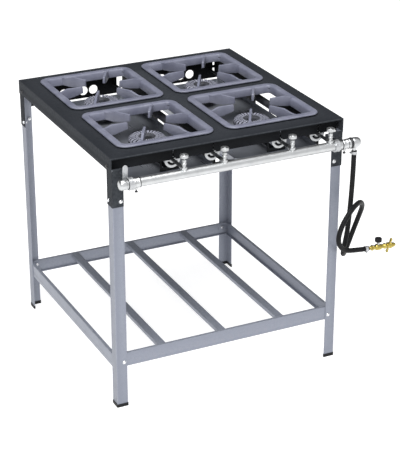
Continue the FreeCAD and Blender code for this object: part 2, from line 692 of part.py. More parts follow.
# ---------------------------------------------------------------- air shutters
for end, side in BAYS:
    disc = body(f"{end}_{side}_shutter_disc")
    face = sketch(disc, "XZ_Plane")
    circle(face, "0", "0", "shutter_radius")
    circle(face, "0", "0", "shutter_bore")
    pad(disc, face, "shutter_thick", down=True)
    port = sketch(disc, "XZ_Plane")
    inner, outer = 10.0, 17.0
    for first, last in ((200.0, 340.0), (20.0, 160.0)):
        low, high = math.radians(first), math.radians(last)
        base = port.GeometryCount
        rims = [Part.Circle(V(), V(0, 0, 1), size) for size in (inner, outer)]
        port.addGeometry([Part.ArcOfCircle(rim, low, high) for rim in rims])
        ends = [port.Geometry[base + index] for index in (0, 1)]
        port.addGeometry(Part.LineSegment(ends[0].EndPoint, ends[1].EndPoint))
        port.addGeometry(Part.LineSegment(ends[1].StartPoint, ends[0].StartPoint))
        for pair in ((0, 2, 2, 1), (1, 2, 2, 2), (1, 1, 3, 1), (0, 1, 3, 2)):
            one, at, two, to = pair
            port.addConstraint(Sketcher.Constraint("Coincident", base + one, at, base + two, to))
        for index, size in ((0, inner), (1, outer)):
            port.addConstraint(Sketcher.Constraint("Coincident", base + index, 3, -1, 1))
            port.addConstraint(Sketcher.Constraint("Radius", base + index, size))
    pocket(disc, port, "shutter_thick")
    place(disc, tap_x(end, side), f"{FRONT} + shutter_y", "gas_axis_z")
    node(disc, f"{end}_{side}_air_shutter")

# ---------------------------------------------------------------- manifold and its end pieces
axis_y, axis_z = f"{FRONT} + manifold_y", "manifold_z"


def on_manifold(inset):
    """A point on the manifold's axis, inset from the stand's left face."""
    return (f"{LEFT} + {inset}", axis_y, axis_z)


pipe = rod("manifold_pipe", "x", on_manifold("manifold_left"), "manifold_radius",
           "manifold_right - manifold_left")
pipe_bore = rod("manifold_bore", "x", on_manifold("manifold_left - 1"),
                "manifold_radius - manifold_wall", "manifold_right - manifold_left + 2")
ports = [rod("feed_port", "z", (tap_x(end, side), axis_y, axis_z), "3", "manifold_radius + 2")
         for end, side in BAYS]
node(cut("manifold_tube_bored", pipe, [pipe_bore] + ports), "manifold_tube")

cap_wall_x = rod("cap_outer", "x", on_manifold("4"), "collar_radius", "23")
cap_dome = taper("cap_dome", "x", on_manifold("1"), "collar_radius - 4", "collar_radius", "3")
cap_bore = rod("cap_bore", "x", on_manifold("manifold_left"), "manifold_radius", "30")
node(cut("end_cap_bored", fuse("end_cap_blank", [cap_wall_x, cap_dome]), [cap_bore]),
     "manifold_end_cap")


def ring_on_manifold(name, low, high, radius):
    """A band round the manifold between two insets from the left face."""
    outer = rod(name, "x", on_manifold(low), radius, f"{high} - {low}")
    inner = rod(f"{name}_bore", "x", on_manifold(f"{low} - 1"), "manifold_radius",
                f"{high} - {low} + 2")
    return outer, inner


def collar(name, low, high):
    """A clamp collar with a lug and a hanging screw below it."""
    outer, inner = ring_on_manifold(name, low, high, "collar_radius")
    middle = f"({low} + {high}) / 2"
    foot = "manifold_z - collar_radius"
    x = f"{LEFT} + {middle}"
    lug = box(f"{name}_lug", (f"{x} - 4", f"{x} + 4"), (f"{axis_y} - 3", f"{axis_y} + 3"),
              (f"{foot} - 5", f"{foot} + 3"))
    screw = rod(f"{name}_screw", "z", (x, axis_y, f"{foot} - 12"), "1.8", "10")
    head = rod(f"{name}_screw_head", "z", (x, axis_y, f"{foot} - 13"), "3.6", "2.4")
    return cut(f"{name}_done", fuse(f"{name}_blank", [outer, lug, screw, head]), [inner])


collars = [collar("left_collar", "43.5", "61"), collar("right_collar", "697", "715")]
node(gather("collar_group", collars), "manifold_collars")

# The brackets: a band round the manifold, an upright strap with a round top behind it, and an
# arm back to the corner socket.
brackets = []
for side, band_low, strap_low, rise, foot in (
        ("left", "27.5", "20", "41", ("6", "43")),
        ("right", "669.5", "669.5", "12", ("669.5", "724"))):
    outer, inner = ring_on_manifold(f"{side}_band", band_low, f"{band_low} + 15", "band_radius")
    strap_x = (f"{LEFT} + {strap_low}", f"{LEFT} + {strap_low} + 15")
    strap_y = (f"{axis_y} + 15.1", f"{axis_y} + 18.1")
    middle = f"{LEFT} + {strap_low} + 7.5"
    pieces = [outer, box(f"{side}_strap", strap_x, strap_y, ("manifold_z - 8", f"manifold_z + {rise}")),
              rod(f"{side}_strap_top", "y", (middle, strap_y[0], f"manifold_z + {rise}"), "7.5", "3"),
              box(f"{side}_arm", strap_x, (strap_y[0], f"{FRONT} - sheet / 2"),
                  ("manifold_z + 16", "manifold_z + 19")),
              box(f"{side}_plate", (f"{LEFT} + {foot[0]}", f"{LEFT} + {foot[1]}"),
                  (f"{FRONT} - sheet", FRONT), ("manifold_z + 1", "manifold_z + 20"))]
    brackets.append(cut(f"{side}_bracket", fuse(f"{side}_bracket_blank", pieces), [inner]))
node(gather("bracket_group", brackets), "manifold_brackets")

# ---------------------------------------------------------------- taps
valves = []
for end, side in BAYS:
    x = tap_x(end, side)
    stock = fuse("tap_blank", [
        rod("tap_barrel", "z", (x, axis_y, "manifold_z + 5"), "tap_radius", "31"),
        rod("tap_waist", "z", (x, axis_y, "gas_axis_z - 6"), "tap_radius + 1.6", "13"),
        hexagon("tap_bonnet", "z", (x, axis_y, "tap_top - 6.5"), "tap_radius - 1", "6.5"),
        rod("injector", "y", (x, axis_y, "gas_axis_z"), "injector_radius",
            "mouth_y - manifold_y + 4"),
        taper("nozzle", "y", (x, f"{FRONT} + mouth_y + 4", "gas_axis_z"), "injector_radius",
              "2", "8")])
    pipe_seat = rod("tap_seat", "x", on_manifold("manifold_left - 1"), "manifold_radius", "700")
    stem_hole = rod("tap_stem_hole", "z", (x, axis_y, "tap_top - 12"), "stem_bore", "13")
    gas_way = rod("tap_gas_way", "y", (x, axis_y, "gas_axis_z"), "1.2", "100")
    valves.append(cut("tap_body", stock, [pipe_seat, stem_hole, gas_way]))
node(gather("tap_group", valves), "tap_bodies")

for end, side in BAYS:
    knob = body(f"{end}_{side}_tap_knob_turned")
    foot = "tap_top - 11 - knob_z"
    turned(knob, [("0", foot), ("stem_radius", foot), ("stem_radius", "-2"), ("5", "0"),
                  ("knob_radius - 2", "0.6"), ("knob_radius", "3"), ("knob_radius", "6.5"),
                  ("knob_radius - 2", "9"), ("knob_radius - 6", "knob_rise"), ("0", "knob_rise")])
    notch_plan = sketch(knob, "XY_Plane", "knob_rise - 1.2")
    outline(notch_plan, [("-1", "2"), ("1", "2"), ("1", "knob_radius"), ("-1", "knob_radius")])
    pocket(knob, notch_plan, "2", up=True)
    place(knob, tap_x(end, side), axis_y, "knob_z")
    node(knob, f"{end}_{side}_tap_knob")

# ---------------------------------------------------------------- grates
for end, side in BAYS:
    grate = body(f"{end}_{side}_grate_casting")
    rim = sketch(grate, "XY_Plane", "seat_gap")
    rounded(rim, "grate_side / 2", "grate_side / 2", "grate_radius")
    rounded(rim, "grate_side / 2 - rim_width", "grate_side / 2 - rim_width",
            "grate_radius - rim_width + 12")
    pad(grate, rim, "rim_rise")
    skirt = sketch(grate, "XY_Plane", "-skirt_drop")
    rounded(skirt, "skirt_outer / 2", "skirt_outer / 2", "22")
    rounded(skirt, "skirt_outer / 2 - skirt_wall", "skirt_outer / 2 - skirt_wall", "18")
    pad(grate, skirt, "skirt_drop + 2")
    fin = sketch(grate, "XZ_Plane")
    outline(fin, [("fin_tip", "-2"), ("fin_tip", "fin_rise"), ("112", "fin_rise"),
                  ("136", "rim_rise - 1"), ("172", "rim_rise - 1"), ("172", "-skirt_drop"),
                  ("120", "-skirt_drop"), ("92", "-11")])
    first_fin = pad(grate, fin, "fin_thick", both=True)
    polar(grate, first_fin, "6")
    trim_low = sketch(grate, "XY_Plane", "seat_gap")
    rounded(trim_low, "210", "210", "30")
    rounded(trim_low, "skirt_outer / 2", "skirt_outer / 2", "22")
    pocket(grate, trim_low, "40")
    trim_high = sketch(grate, "XY_Plane", "-40")
    rounded(trim_high, "210", "210", "30")
    rounded(trim_high, "grate_side / 2", "grate_side / 2", "grate_radius")
    pocket(grate, trim_high, "80", up=True)
    place(grate, *bay_centre(end, side), "top_z")
    node(grate, f"{end}_{side}_grate")

# ---------------------------------------------------------------- gas elbow at the inlet
drop_x = f"{LEFT} + hose_x"
hose_top = "manifold_z - 24"
elbow = fuse("elbow_blank", [
    rod("union_sleeve", "x", on_manifold("715.5"), "collar_radius", "7.5"),
    rod("union_ring", "x", on_manifold("723"), "collar_radius + 1.5", "7"),
    rod("elbow_run", "x", on_manifold("729"), "elbow_radius", "hose_x - 729"),
    rod("elbow_outer", "x", on_manifold("hose_x"), "elbow_radius", "11"),
    taper("elbow_nose", "x", on_manifold("hose_x + 11"), "elbow_radius", "8", "7"),
    rod("elbow_drop", "z", (drop_x, axis_y, "manifold_z - 18"), "8.5", "14"),
    rod("elbow_barb", "z", (drop_x, axis_y, hose_top), "5.5", "12")])
node(elbow, "inlet_elbow")

# ---------------------------------------------------------------- hose, a loose loop at the side
# Route from the elbow to the cylinder tap: X from the left face, Y from the front face, and Z.
HOSE_ROUTE = [
    (739, -50, 697), (739, -50, 650), (737, -50, 580), (733, -50, 504), (717, -67, 448),
    (710, -61, 390), (731, -25, 351), (768, 16, 351), (801, 39, 388), (814, 30, 439),
    (809, -1, 491), (770, -46, 530), (712, -96, 534), (672, -112, 500), (662, -103, 445),
    (691, -90, 402), (744, -86, 392), (780, -88, 391),
]
corner = V(value(LEFT), value(FRONT), 0)
hose_points = [corner + V(*point) for point in HOSE_ROUTE]
hose_path, hose_radii = bent_path(hose_points)
hose_solid = tube(hose_path, value("hose_radius"))
node(shaped("gas_hose_swept", hose_solid), "gas_hose")
expected = math.pi * value("hose_radius") ** 2 * hose_path.Length
print("hose length %.1f, radii %s" % (hose_path.Length, [round(r) for r in hose_radii]))
print("hose volume / (section x length) = %.4f" % (hose_solid.Volume / expected))

# ---------------------------------------------------------------- hose clamps
hose_end = hose_points[-1]
lead = hose_points[-1] - hose_points[-2]
lead.normalize()
rise = V(0, 0, 1)


def band(at, along, radius, width):
    """A worm-drive clamp: a band with its screw housing on one side."""
    strip = Part.makeCylinder(radius, width, at, along)
    across = along.cross(V(0, -1, 0)) if abs(along.z) < 0.5 else V(-1, 0, 0)
    across.normalize()
    house = Part.makeCylinder(3, 12, at + along * (width / 2) + across * (radius + 1)
                              - along.cross(across) * 6, along.cross(across))
    hole = Part.makeCylinder(value("hose_radius"), width + 20, at - along * 10, along)
    return strip.fuse(house).cut(hole).removeSplitter()


grip = value("hose_radius + 1.4")
clamps = [band(hose_points[0] + V(0, 0, -12), V(0, 0, 1), grip, 9),
          band(hose_end - lead * 12, lead, grip, 9)]
node(shaped("hose_clamp_pair", Part.makeCompound(clamps)), "hose_clamps")


# ---------------------------------------------------------------- cylinder tap on the hose's end
def along_tap(start, stop, radius, radius_end=None):
    """A round length of the tap body between two distances from the hose's end."""
    at = hose_end + lead * start
    if radius_end is None:
        return Part.makeCylinder(radius, stop - start, at, lead)
    return Part.makeCone(radius, radius_end, stop - start, at, lead)


STEM_AT, NUT_AT = 32.0, 62.0                 # knob stem and wing nut, from the hose's end
stem_base = hose_end + lead * STEM_AT
barrel = along_tap(0, 10, 5.2)
for piece in (along_tap(9, 14, 9), along_tap(13.9, 52, 7.5), along_tap(24, 40, 9.5),
              along_tap(51.9, 56, 9), along_tap(55.9, 84, 5.5), along_tap(79, 84, 7),
              along_tap(84, 90, 7, 3.5), Part.makeCylinder(5.2, 17, stem_base, rise)):
    barrel = barrel.fuse(piece)
barrel = barrel.cut(Part.makeCylinder(2.55, 14, stem_base + rise * 4, rise))
barrel = barrel.cut(along_tap(70, 91, 2.5)).removeSplitter()
node(shaped("cylinder_tap_casting", barrel), "cylinder_tap_body")

pin = Part.makeCylinder(2.5, 18, stem_base + rise * 5, rise)
grip_disc = Part.makeCylinder(10.5, 11, stem_base + rise * 18, rise)
for step in range(14):
    turn = 2 * math.pi * step / 14
    rib = V(math.cos(turn), math.sin(turn), 0) * 11.2
    grip_disc = grip_disc.cut(Part.makeCylinder(1.5, 20, stem_base + rise * 12 + rib, rise))
node(shaped("cylinder_tap_knob_cast", pin.fuse(grip_disc).removeSplitter()), "cylinder_tap_knob")

tilt = FreeCAD.Rotation(lead, 25)
wing = tilt.multVec(rise)
hub = Part.makeCylinder(10, 14, hose_end + lead * NUT_AT, lead)
for sign in (-1, 1):
    arm = Part.makeBox(6, 5, 21, V(-3, -2.5, 7))
    arm.Placement = FreeCAD.Placement(hose_end + lead * (NUT_AT + 7),
                                      FreeCAD.Rotation(V(0, 0, 1), wing * sign))
    tip_ball = Part.makeCylinder(5, 5, hose_end + lead * (NUT_AT + 4.5) + wing * sign * 26, lead)
    hub = hub.fuse(arm).fuse(tip_ball)
hub = hub.cut(along_tap(NUT_AT - 1, NUT_AT + 15, 5.56)).removeSplitter()
node(shaped("wing_nut_cast", hub), "cylinder_wing_nut")

# ---------------------------------------------------------------- check, then write the files
doc.recompute()
for thing in doc.Objects:
    if "Invalid" in thing.State or "Error" in thing.State:
        raise RuntimeError(f"{thing.Label} failed: {thing.State}")
os.makedirs("parts", exist_ok=True)
for thing in NODES:
    shape = thing.Shape
    if shape.isNull() or not shape.isValid() or not shape.Solids:
        raise RuntimeError(f"{thing.Label} has no valid solid")
    shape.exportStep(f"parts/{thing.Label}.step")
print(len(NODES), "sub-parts written")
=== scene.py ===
import json
import math

import bmesh
import bpy
from mathutils import Matrix, Vector


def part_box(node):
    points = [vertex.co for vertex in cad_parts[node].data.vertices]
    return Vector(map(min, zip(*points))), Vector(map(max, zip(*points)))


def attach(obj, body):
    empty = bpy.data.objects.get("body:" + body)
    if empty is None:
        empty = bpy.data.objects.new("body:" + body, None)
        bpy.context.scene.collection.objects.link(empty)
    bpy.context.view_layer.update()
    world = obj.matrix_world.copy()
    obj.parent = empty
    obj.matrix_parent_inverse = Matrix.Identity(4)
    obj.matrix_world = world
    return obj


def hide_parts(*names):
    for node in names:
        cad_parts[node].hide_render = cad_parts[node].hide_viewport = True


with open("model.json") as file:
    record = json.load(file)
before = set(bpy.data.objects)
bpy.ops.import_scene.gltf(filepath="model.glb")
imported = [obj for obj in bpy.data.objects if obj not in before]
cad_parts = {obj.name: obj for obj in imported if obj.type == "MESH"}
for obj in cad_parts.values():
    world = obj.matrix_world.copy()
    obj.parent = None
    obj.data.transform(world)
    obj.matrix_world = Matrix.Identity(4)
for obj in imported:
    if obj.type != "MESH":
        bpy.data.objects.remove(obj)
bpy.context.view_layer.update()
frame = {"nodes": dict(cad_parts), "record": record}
NODES = frame["nodes"]
SCENE = bpy.context.scene
MM = 0.001                                   # the pieces are drawn in millimetres
BAYS = [(end, side) for end in ("front", "rear") for side in ("left", "right")]


# ---------------------------------------------------------------- places, in millimetres
def extent(node):
    """A CAD node's lowest and highest corners at rest, to the nearest micron."""
    return [Vector([round(value / MM, 3) for value in corner]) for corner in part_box(node)]


def centre(node):
    low, high = extent(node)
    return (low + high) / 2


PANEL_LOW, PANEL_HIGH = extent("top_panel")
LEFT, FRONT = PANEL_LOW.x, PANEL_LOW.y
RIGHT, BACK, TOP = PANEL_HIGH
MANIFOLD = centre("manifold_tube")           # its y and z are the tube's axis
SHUTTER = centre("front_left_air_shutter")   # its y and z are the same for all four
SHEET = 1.5                                  # gauge of the panel and the sockets
CORNER = Vector((LEFT, FRONT, 0)) * MM       # the stand's left front corner on the floor, in metres


def bay_centre(end, side):
    middle = centre(f"{end}_{side}_crown")
    return Vector((middle.x, middle.y, 0))


def tap_x(end, side):
    return centre(f"{end}_{side}_tap_knob").x


# ---------------------------------------------------------------- camera
LENS = 122.05                                # mm, on the default sensor
CAMERA_PLACE = (-1.8447, -3.9366, 2.3431)
CAMERA_TILT, CAMERA_TURN = 65.54, -25.88     # degrees


def add_camera():
    lens = bpy.data.cameras.new("camera")
    lens.lens = LENS
    lens.clip_end = 40
    camera = bpy.data.objects.new("camera", lens)
    camera.location = CAMERA_PLACE
    camera.rotation_euler = (math.radians(CAMERA_TILT), 0, math.radians(CAMERA_TURN))
    SCENE.collection.objects.link(camera)
    SCENE.camera = camera


add_camera()


# ---------------------------------------------------------------- materials
def new_material(name, color, roughness, metallic=0.0):
    """A material and its principled shader, with the values that are the same all over."""
    material = bpy.data.materials.new(name)
    material.use_nodes = True
    shader = material.node_tree.nodes["Principled BSDF"]
    shader.inputs["Base Color"].default_value = (*color, 1)
    shader.inputs["Roughness"].default_value = roughness
    shader.inputs["Metallic"].default_value = metallic
    return material, shader


def noise(material, scale, detail=2.0, stretch=(1, 1, 1)):
    """A noise texture in the piece's own coordinates; returns its factor socket."""
    tree = material.node_tree
    place = tree.nodes.new("ShaderNodeTexCoord")
    squeeze = tree.nodes.new("ShaderNodeMapping")
    squeeze.inputs["Scale"].default_value = stretch
    texture = tree.nodes.new("ShaderNodeTexNoise")
    texture.inputs["Scale"].default_value = scale
    texture.inputs["Detail"].default_value = detail
    tree.links.new(place.outputs["Object"], squeeze.inputs["Vector"])
    tree.links.new(squeeze.outputs["Vector"], texture.inputs["Vector"])
    return texture.outputs["Fac"]


def vary_color(material, shader, factor, dark, light, low=0.35, high=0.65):
    """Base colour that wanders between two tones."""
    ramp = material.node_tree.nodes.new("ShaderNodeValToRGB")
    for stop, place, color in zip(ramp.color_ramp.elements, (low, high), (dark, light)):
        stop.position = place
        stop.color = (*color, 1)
    material.node_tree.links.new(factor, ramp.inputs["Fac"])
    material.node_tree.links.new(ramp.outputs["Color"], shader.inputs["Base Color"])


def vary_roughness(material, shader, factor, low, high):
    """Roughness that wanders between two values."""
    spread = material.node_tree.nodes.new("ShaderNodeMapRange")
    spread.inputs["To Min"].default_value = low
    spread.inputs["To Max"].default_value = high
    material.node_tree.links.new(factor, spread.inputs["Value"])
    material.node_tree.links.new(spread.outputs["Result"], shader.inputs["Roughness"])


def add_bump(material, shader, factor, height, strength=0.5):
    """A bump of that height in metres; bumps added one after another stack."""
    tree = material.node_tree
    bump = tree.nodes.new("ShaderNodeBump")
    bump.inputs["Distance"].default_value = height
    bump.inputs["Strength"].default_value = strength
    tree.links.new(factor, bump.inputs["Height"])
    if shader.inputs["Normal"].is_linked:
        tree.links.new(shader.inputs["Normal"].links[0].from_socket, bump.inputs["Normal"])
    tree.links.new(bump.outputs["Normal"], shader.inputs["Normal"])


WEAR_RANGE = (0.53, 0.60)                    # pointiness where wear starts and where it is full
WEAR_PATCHES = 140                           # noise scale that breaks it up


def edge_wear(material, shader, color, amount):
    """Paint that is thinner and paler along sharp edges, broken up by noise."""
    tree = material.node_tree
    geometry = tree.nodes.new("ShaderNodeNewGeometry")
    sharp = tree.nodes.new("ShaderNodeMapRange")
    for socket, number in zip(("From Min", "From Max", "To Min", "To Max"), (*WEAR_RANGE, 0, amount)):
        sharp.inputs[socket].default_value = number
    patchy = tree.nodes.new("ShaderNodeMath")
    patchy.operation = "MULTIPLY"
    mix = tree.nodes.new("ShaderNodeMix")
    mix.data_type = "RGBA"
    mix.inputs["B"].default_value = (*color, 1)
    tree.links.new(geometry.outputs["Pointiness"], sharp.inputs["Value"])
    tree.links.new(sharp.outputs["Result"], patchy.inputs[0])
    tree.links.new(noise(material, WEAR_PATCHES), patchy.inputs[1])
    tree.links.new(patchy.outputs["Value"], mix.inputs["Factor"])
    before = shader.inputs["Base Color"].links[0].from_socket
    tree.links.new(before, mix.inputs["A"])
    tree.links.new(mix.outputs["Result"], shader.inputs["Base Color"])


def black_enamel():
    """Textured black powder coat of the top panel, the corner sockets and the brackets' arms."""
    material, shader = new_material("black_enamel", (0.017, 0.0185, 0.0225), 0.5)
    vary_color(material, shader, noise(material, 6, 4),
               (0.0145, 0.016, 0.0195), (0.0195, 0.021, 0.0255))
    vary_roughness(material, shader, noise(material, 38, 4), 0.44, 0.56)
    add_bump(material, shader, noise(material, 620, 3), 0.00018, 0.35)
    add_bump(material, shader, noise(material, 45, 2), 0.0005, 0.12)
    edge_wear(material, shader, (0.10, 0.11, 0.12), 0.5)
    shader.inputs["Specular IOR Level"].default_value = 0.02
    return material


def shaded_enamel():
    """The same black coat made darker as painted shade, on the apron and the parts inside the top."""
    material, shader = new_material("shaded_enamel", (0.007, 0.0075, 0.009), 0.55)
    vary_color(material, shader, noise(material, 9, 4),
               (0.005, 0.0055, 0.0065), (0.009, 0.010, 0.012))
    vary_roughness(material, shader, noise(material, 38, 4), 0.5, 0.62)
    add_bump(material, shader, noise(material, 620, 3), 0.00018, 0.35)
    shader.inputs["Specular IOR Level"].default_value = 0.08
    return material


def grey_paint():
    """Silver-blue paint of the legs, rails and slats, with fine metallic flake."""
    material, shader = new_material("grey_paint", (0.19, 0.205, 0.25), 0.42, 0.2)
    vary_color(material, shader, noise(material, 1500, 2),
               (0.160, 0.174, 0.216), (0.220, 0.236, 0.284), 0.3, 0.7)
    vary_roughness(material, shader, noise(material, 30, 4), 0.34, 0.48)
    add_bump(material, shader, noise(material, 500, 2), 0.00012, 0.25)
    edge_wear(material, shader, (0.34, 0.36, 0.41), 0.6)
    return material


def cast_enamel():
    """Lilac-grey enamel over the grates' sand-cast iron."""
    material, shader = new_material("cast_enamel", (0.16, 0.165, 0.22), 0.40)
    vary_color(material, shader, noise(material, 24, 5),
               (0.120, 0.126, 0.172), (0.165, 0.172, 0.222))
    vary_roughness(material, shader, noise(material, 60, 4), 0.32, 0.52)
    add_bump(material, shader, noise(material, 380, 4), 0.00045, 0.35)
    add_bump(material, shader, noise(material, 60, 2), 0.0008, 0.15)
    edge_wear(material, shader, (0.32, 0.33, 0.39), 0.5)
    return material


def crown_enamel():
    """The crowns' thinner, slightly sooted enamel."""
    material, shader = new_material("crown_enamel", (0.20, 0.205, 0.25), 0.42)
    vary_color(material, shader, noise(material, 40, 5), (0.17, 0.175, 0.22), (0.26, 0.265, 0.32))
    vary_roughness(material, shader, noise(material, 80, 4), 0.34, 0.55)
    add_bump(material, shader, noise(material, 420, 4), 0.0004, 0.3)
    edge_wear(material, shader, (0.40, 0.41, 0.46), 0.6)
    return material


def black_iron():
    """Blackened steel of the injectors, the union ring, the collar screws and the upper bolts."""
    material, shader = new_material("black_iron", (0.015, 0.016, 0.018), 0.36, 0.2)
    vary_color(material, shader, noise(material, 90, 3),
               (0.010, 0.011, 0.012), (0.024, 0.025, 0.028))
    vary_roughness(material, shader, noise(material, 160, 3), 0.28, 0.46)
    add_bump(material, shader, noise(material, 900, 2), 0.0001, 0.3)
    return material


def raw_casting():
    """Dark heat-stained iron of the burner bowls and mixing tubes."""
    material, shader = new_material("raw_casting", (0.05, 0.052, 0.06), 0.6, 0.35)
    vary_color(material, shader, noise(material, 30, 5),
               (0.035, 0.036, 0.042), (0.075, 0.077, 0.088))
    vary_roughness(material, shader, noise(material, 70, 4), 0.5, 0.72)
    add_bump(material, shader, noise(material, 420, 4), 0.0007, 0.5)
    return material


def painted_shade_iron():
    """Near-black iron, painted shade down in the crowns' slots and hub."""
    material, shader = new_material("painted_shade_iron", (0.022, 0.023, 0.028), 0.7)
    vary_color(material, shader, noise(material, 60, 4),
               (0.014, 0.015, 0.019), (0.040, 0.042, 0.052))
    vary_roughness(material, shader, noise(material, 90, 3), 0.6, 0.8)
    add_bump(material, shader, noise(material, 420, 4), 0.0004, 0.3)
    return material


def tray_steel():
    """Dulled sheet steel of the drip trays, faintly waved and rubbed along their length."""
    material, shader = new_material("tray_steel", (0.27, 0.285, 0.32), 0.3, 0.6)
    vary_color(material, shader, noise(material, 9, 5), (0.24, 0.255, 0.29), (0.31, 0.325, 0.36))
    vary_roughness(material, shader, noise(material, 40, 4, (1, 0.2, 1)), 0.24, 0.34)
    add_bump(material, shader, noise(material, 14, 2), 0.0012, 0.2)
    return material


def bright_chrome():
    """Bright plating with a satin haze, as handled taps and tubes have."""
    material, shader = new_material("bright_chrome", (0.53, 0.54, 0.545), 0.33, 1.0)
    vary_color(material, shader, noise(material, 40, 4), (0.50, 0.51, 0.515), (0.56, 0.57, 0.575))
    vary_roughness(material, shader, noise(material, 60, 3, (0.2, 1, 1)), 0.29, 0.38)
    return material


def brushed_steel():
    """Bare steel with fine rubbed lines: air shutters, brackets and clamps."""
    material, shader = new_material("brushed_steel", (0.44, 0.45, 0.46), 0.3, 0.7)
    vary_color(material, shader, noise(material, 260, 3, (1, 1, 0.08)),
               (0.40, 0.41, 0.42), (0.48, 0.49, 0.50))
    vary_roughness(material, shader, noise(material, 300, 3, (1, 1, 0.08)), 0.22, 0.42)
    add_bump(material, shader, noise(material, 1200, 2, (1, 1, 0.05)), 0.00005, 0.3)
    return material


def zinc_bolt():
    """Zinc plating of the bolts, washers and nuts."""
    material, shader = new_material("zinc_bolt", (0.66, 0.67, 0.69), 0.22, 1.0)
    vary_color(material, shader, noise(material, 180, 3), (0.56, 0.57, 0.60), (0.76, 0.77, 0.78))
    vary_roughness(material, shader, noise(material, 240, 3), 0.16, 0.34)
    return material


def black_moulding():
    """Moulded black plastic of the foot caps and the cylinder tap's knob."""
    material, shader = new_material("black_moulding", (0.006, 0.006, 0.007), 0.55)
    vary_color(material, shader, noise(material, 80, 3),
               (0.005, 0.005, 0.006), (0.009, 0.009, 0.010))
    vary_roughness(material, shader, noise(material, 120, 3), 0.42, 0.6)
    add_bump(material, shader, noise(material, 1400, 2), 0.00008, 0.3)
    shader.inputs["Specular IOR Level"].default_value = 0.2
    return material


def hose_rubber():
    """Black rubber with a dusty bloom."""
    material, shader = new_material("hose_rubber", (0.007, 0.007, 0.0075), 0.6)
    vary_color(material, shader, noise(material, 55, 4),
               (0.005, 0.005, 0.0055), (0.010, 0.010, 0.011))
    vary_roughness(material, shader, noise(material, 90, 4), 0.42, 0.62)
    add_bump(material, shader, noise(material, 1100, 2), 0.00012, 0.35)
    shader.inputs["Specular IOR Level"].default_value = 0.12
    return material


def machined_brass():
    """Turned and cast brass of the cylinder tap and its wing nut."""
    material, shader = new_material("machined_brass", (0.46, 0.37, 0.10), 0.28, 1.0)
    vary_color(material, shader, noise(material, 70, 4), (0.38, 0.30, 0.07), (0.54, 0.44, 0.13))
    vary_roughness(material, shader, noise(material, 160, 4), 0.16, 0.36)
    add_bump(material, shader, noise(material, 900, 2), 0.00005, 0.3)
    return material


MATERIALS = {
    "top_enamel": black_enamel(), "frame_paint": grey_paint(), "grate_iron": cast_enamel(),
    "burner_iron": raw_casting(), "tray_steel": tray_steel(), "chrome": bright_chrome(),
    "shutter_steel": brushed_steel(), "bolt_steel": zinc_bolt(), "black_plastic": black_moulding(),
    "hose_rubber": hose_rubber(), "tap_brass": machined_brass(),
    # the third look on this line is painted shade for the crowns' slots, hub and lower side
    "crown_iron": crown_enamel(), "black_iron": black_iron(), "painted_shade_iron": painted_shade_iron(),
    # the look on this line is a darker copy of the black enamel: painted shade for the parts inside the
    # top
    "shaded_enamel": shaded_enamel(),
}
# looks that have no slot of their own in the record
SLOT_OF = {entry["node"]: entry["material_slot"] for entry in frame["record"]["subparts"]}
BODY_OF = {node: body for body, nodes in frame["record"]["behaviour"]["bodies"].items()
           for node in nodes}


def finish_with(piece, look, body):
    """Give a new piece its material and its body."""
    piece.data.materials.append(MATERIALS[look])
    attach(piece, body)


# parts inside the top that get the darker enamel as painted shade
SHADED_NODES = {"front_apron", "left_guard_plate", "right_guard_plate", "tray_bars", "burner_supports",
         "back_panel"}


def paint_nodes():
    """Every CAD node gets its own slot's finish, or the darker coat of painted shade inside the top."""
    for name, node in NODES.items():
        node.data.materials.clear()
        node.data.materials.append(MATERIALS["shaded_enamel" if name in SHADED_NODES else SLOT_OF[name]])


paint_nodes()


# ---------------------------------------------------------------- hose
HOSE_RADIUS = 7.5
# from the inlet elbow to the cylinder tap, measured from the stand's left front corner on the floor
HOSE_ROUTE = [
    (739, -50, 697), (739, -50, 650), (737, -50, 580), (733, -50, 504), (717, -67, 448),
    (710, -61, 390), (731, -25, 351), (768, 16, 351), (801, 39, 388), (814, 30, 439),
    (809, -1, 491), (770, -46, 530), (712, -96, 534), (672, -112, 500), (662, -103, 445),
    (691, -90, 402), (744, -86, 392), (780, -88, 391),
]
HOSE_START = CORNER / MM + Vector(HOSE_ROUTE[0])
HOSE_END = CORNER / MM + Vector(HOSE_ROUTE[-1])


def add_hose():
    """The hose on one smooth line from the elbow to the tap."""
    data = bpy.data.curves.new("hose_line", "CURVE")
    data.dimensions = "3D"
    line = data.splines.new("NURBS")
    line.points.add(len(HOSE_ROUTE) - 1)
    for point, place in zip(line.points, HOSE_ROUTE):
        point.co = (*(CORNER + Vector(place) * MM), 1)
    line.order_u = 3
    line.use_endpoint_u = True
    line.resolution_u = 12
    data.bevel_depth = HOSE_RADIUS * MM
    data.bevel_resolution = 6
    data.use_fill_caps = True
    hose = bpy.data.objects.new("hose", data)
    SCENE.collection.objects.link(hose)
    finish_with(hose, "hose_rubber", "stand")
    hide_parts("gas_hose")
    return hose


hose = add_hose()


# ---------------------------------------------------------------- mesh helpers, in millimetres
def skin(grid, rings, closed):
    """Faces between rings of vertices, the last ring joined to the first.

    Each ring closes on itself, or stays open at its two ends."""
    for one, two in zip(rings, rings[1:] + rings[:1]):
        size = len(one)
        for step in range(size if closed else size - 1):
            after = (step + 1) % size
            grid.faces.new((one[step], two[step], two[after], one[after]))


def sweep_ring(grid, loop, stations):
    """Skin a closed (offset, height) loop carried round stations of (point, outward)."""
    rings = [[grid.verts.new(place + outward * offset + Vector((0, 0, height)))
              for offset, height in loop] for place, outward in stations]
    skin(grid, rings, closed=True)


def full_turn(count):
    return [2 * math.pi * step / count for step in range(count)]


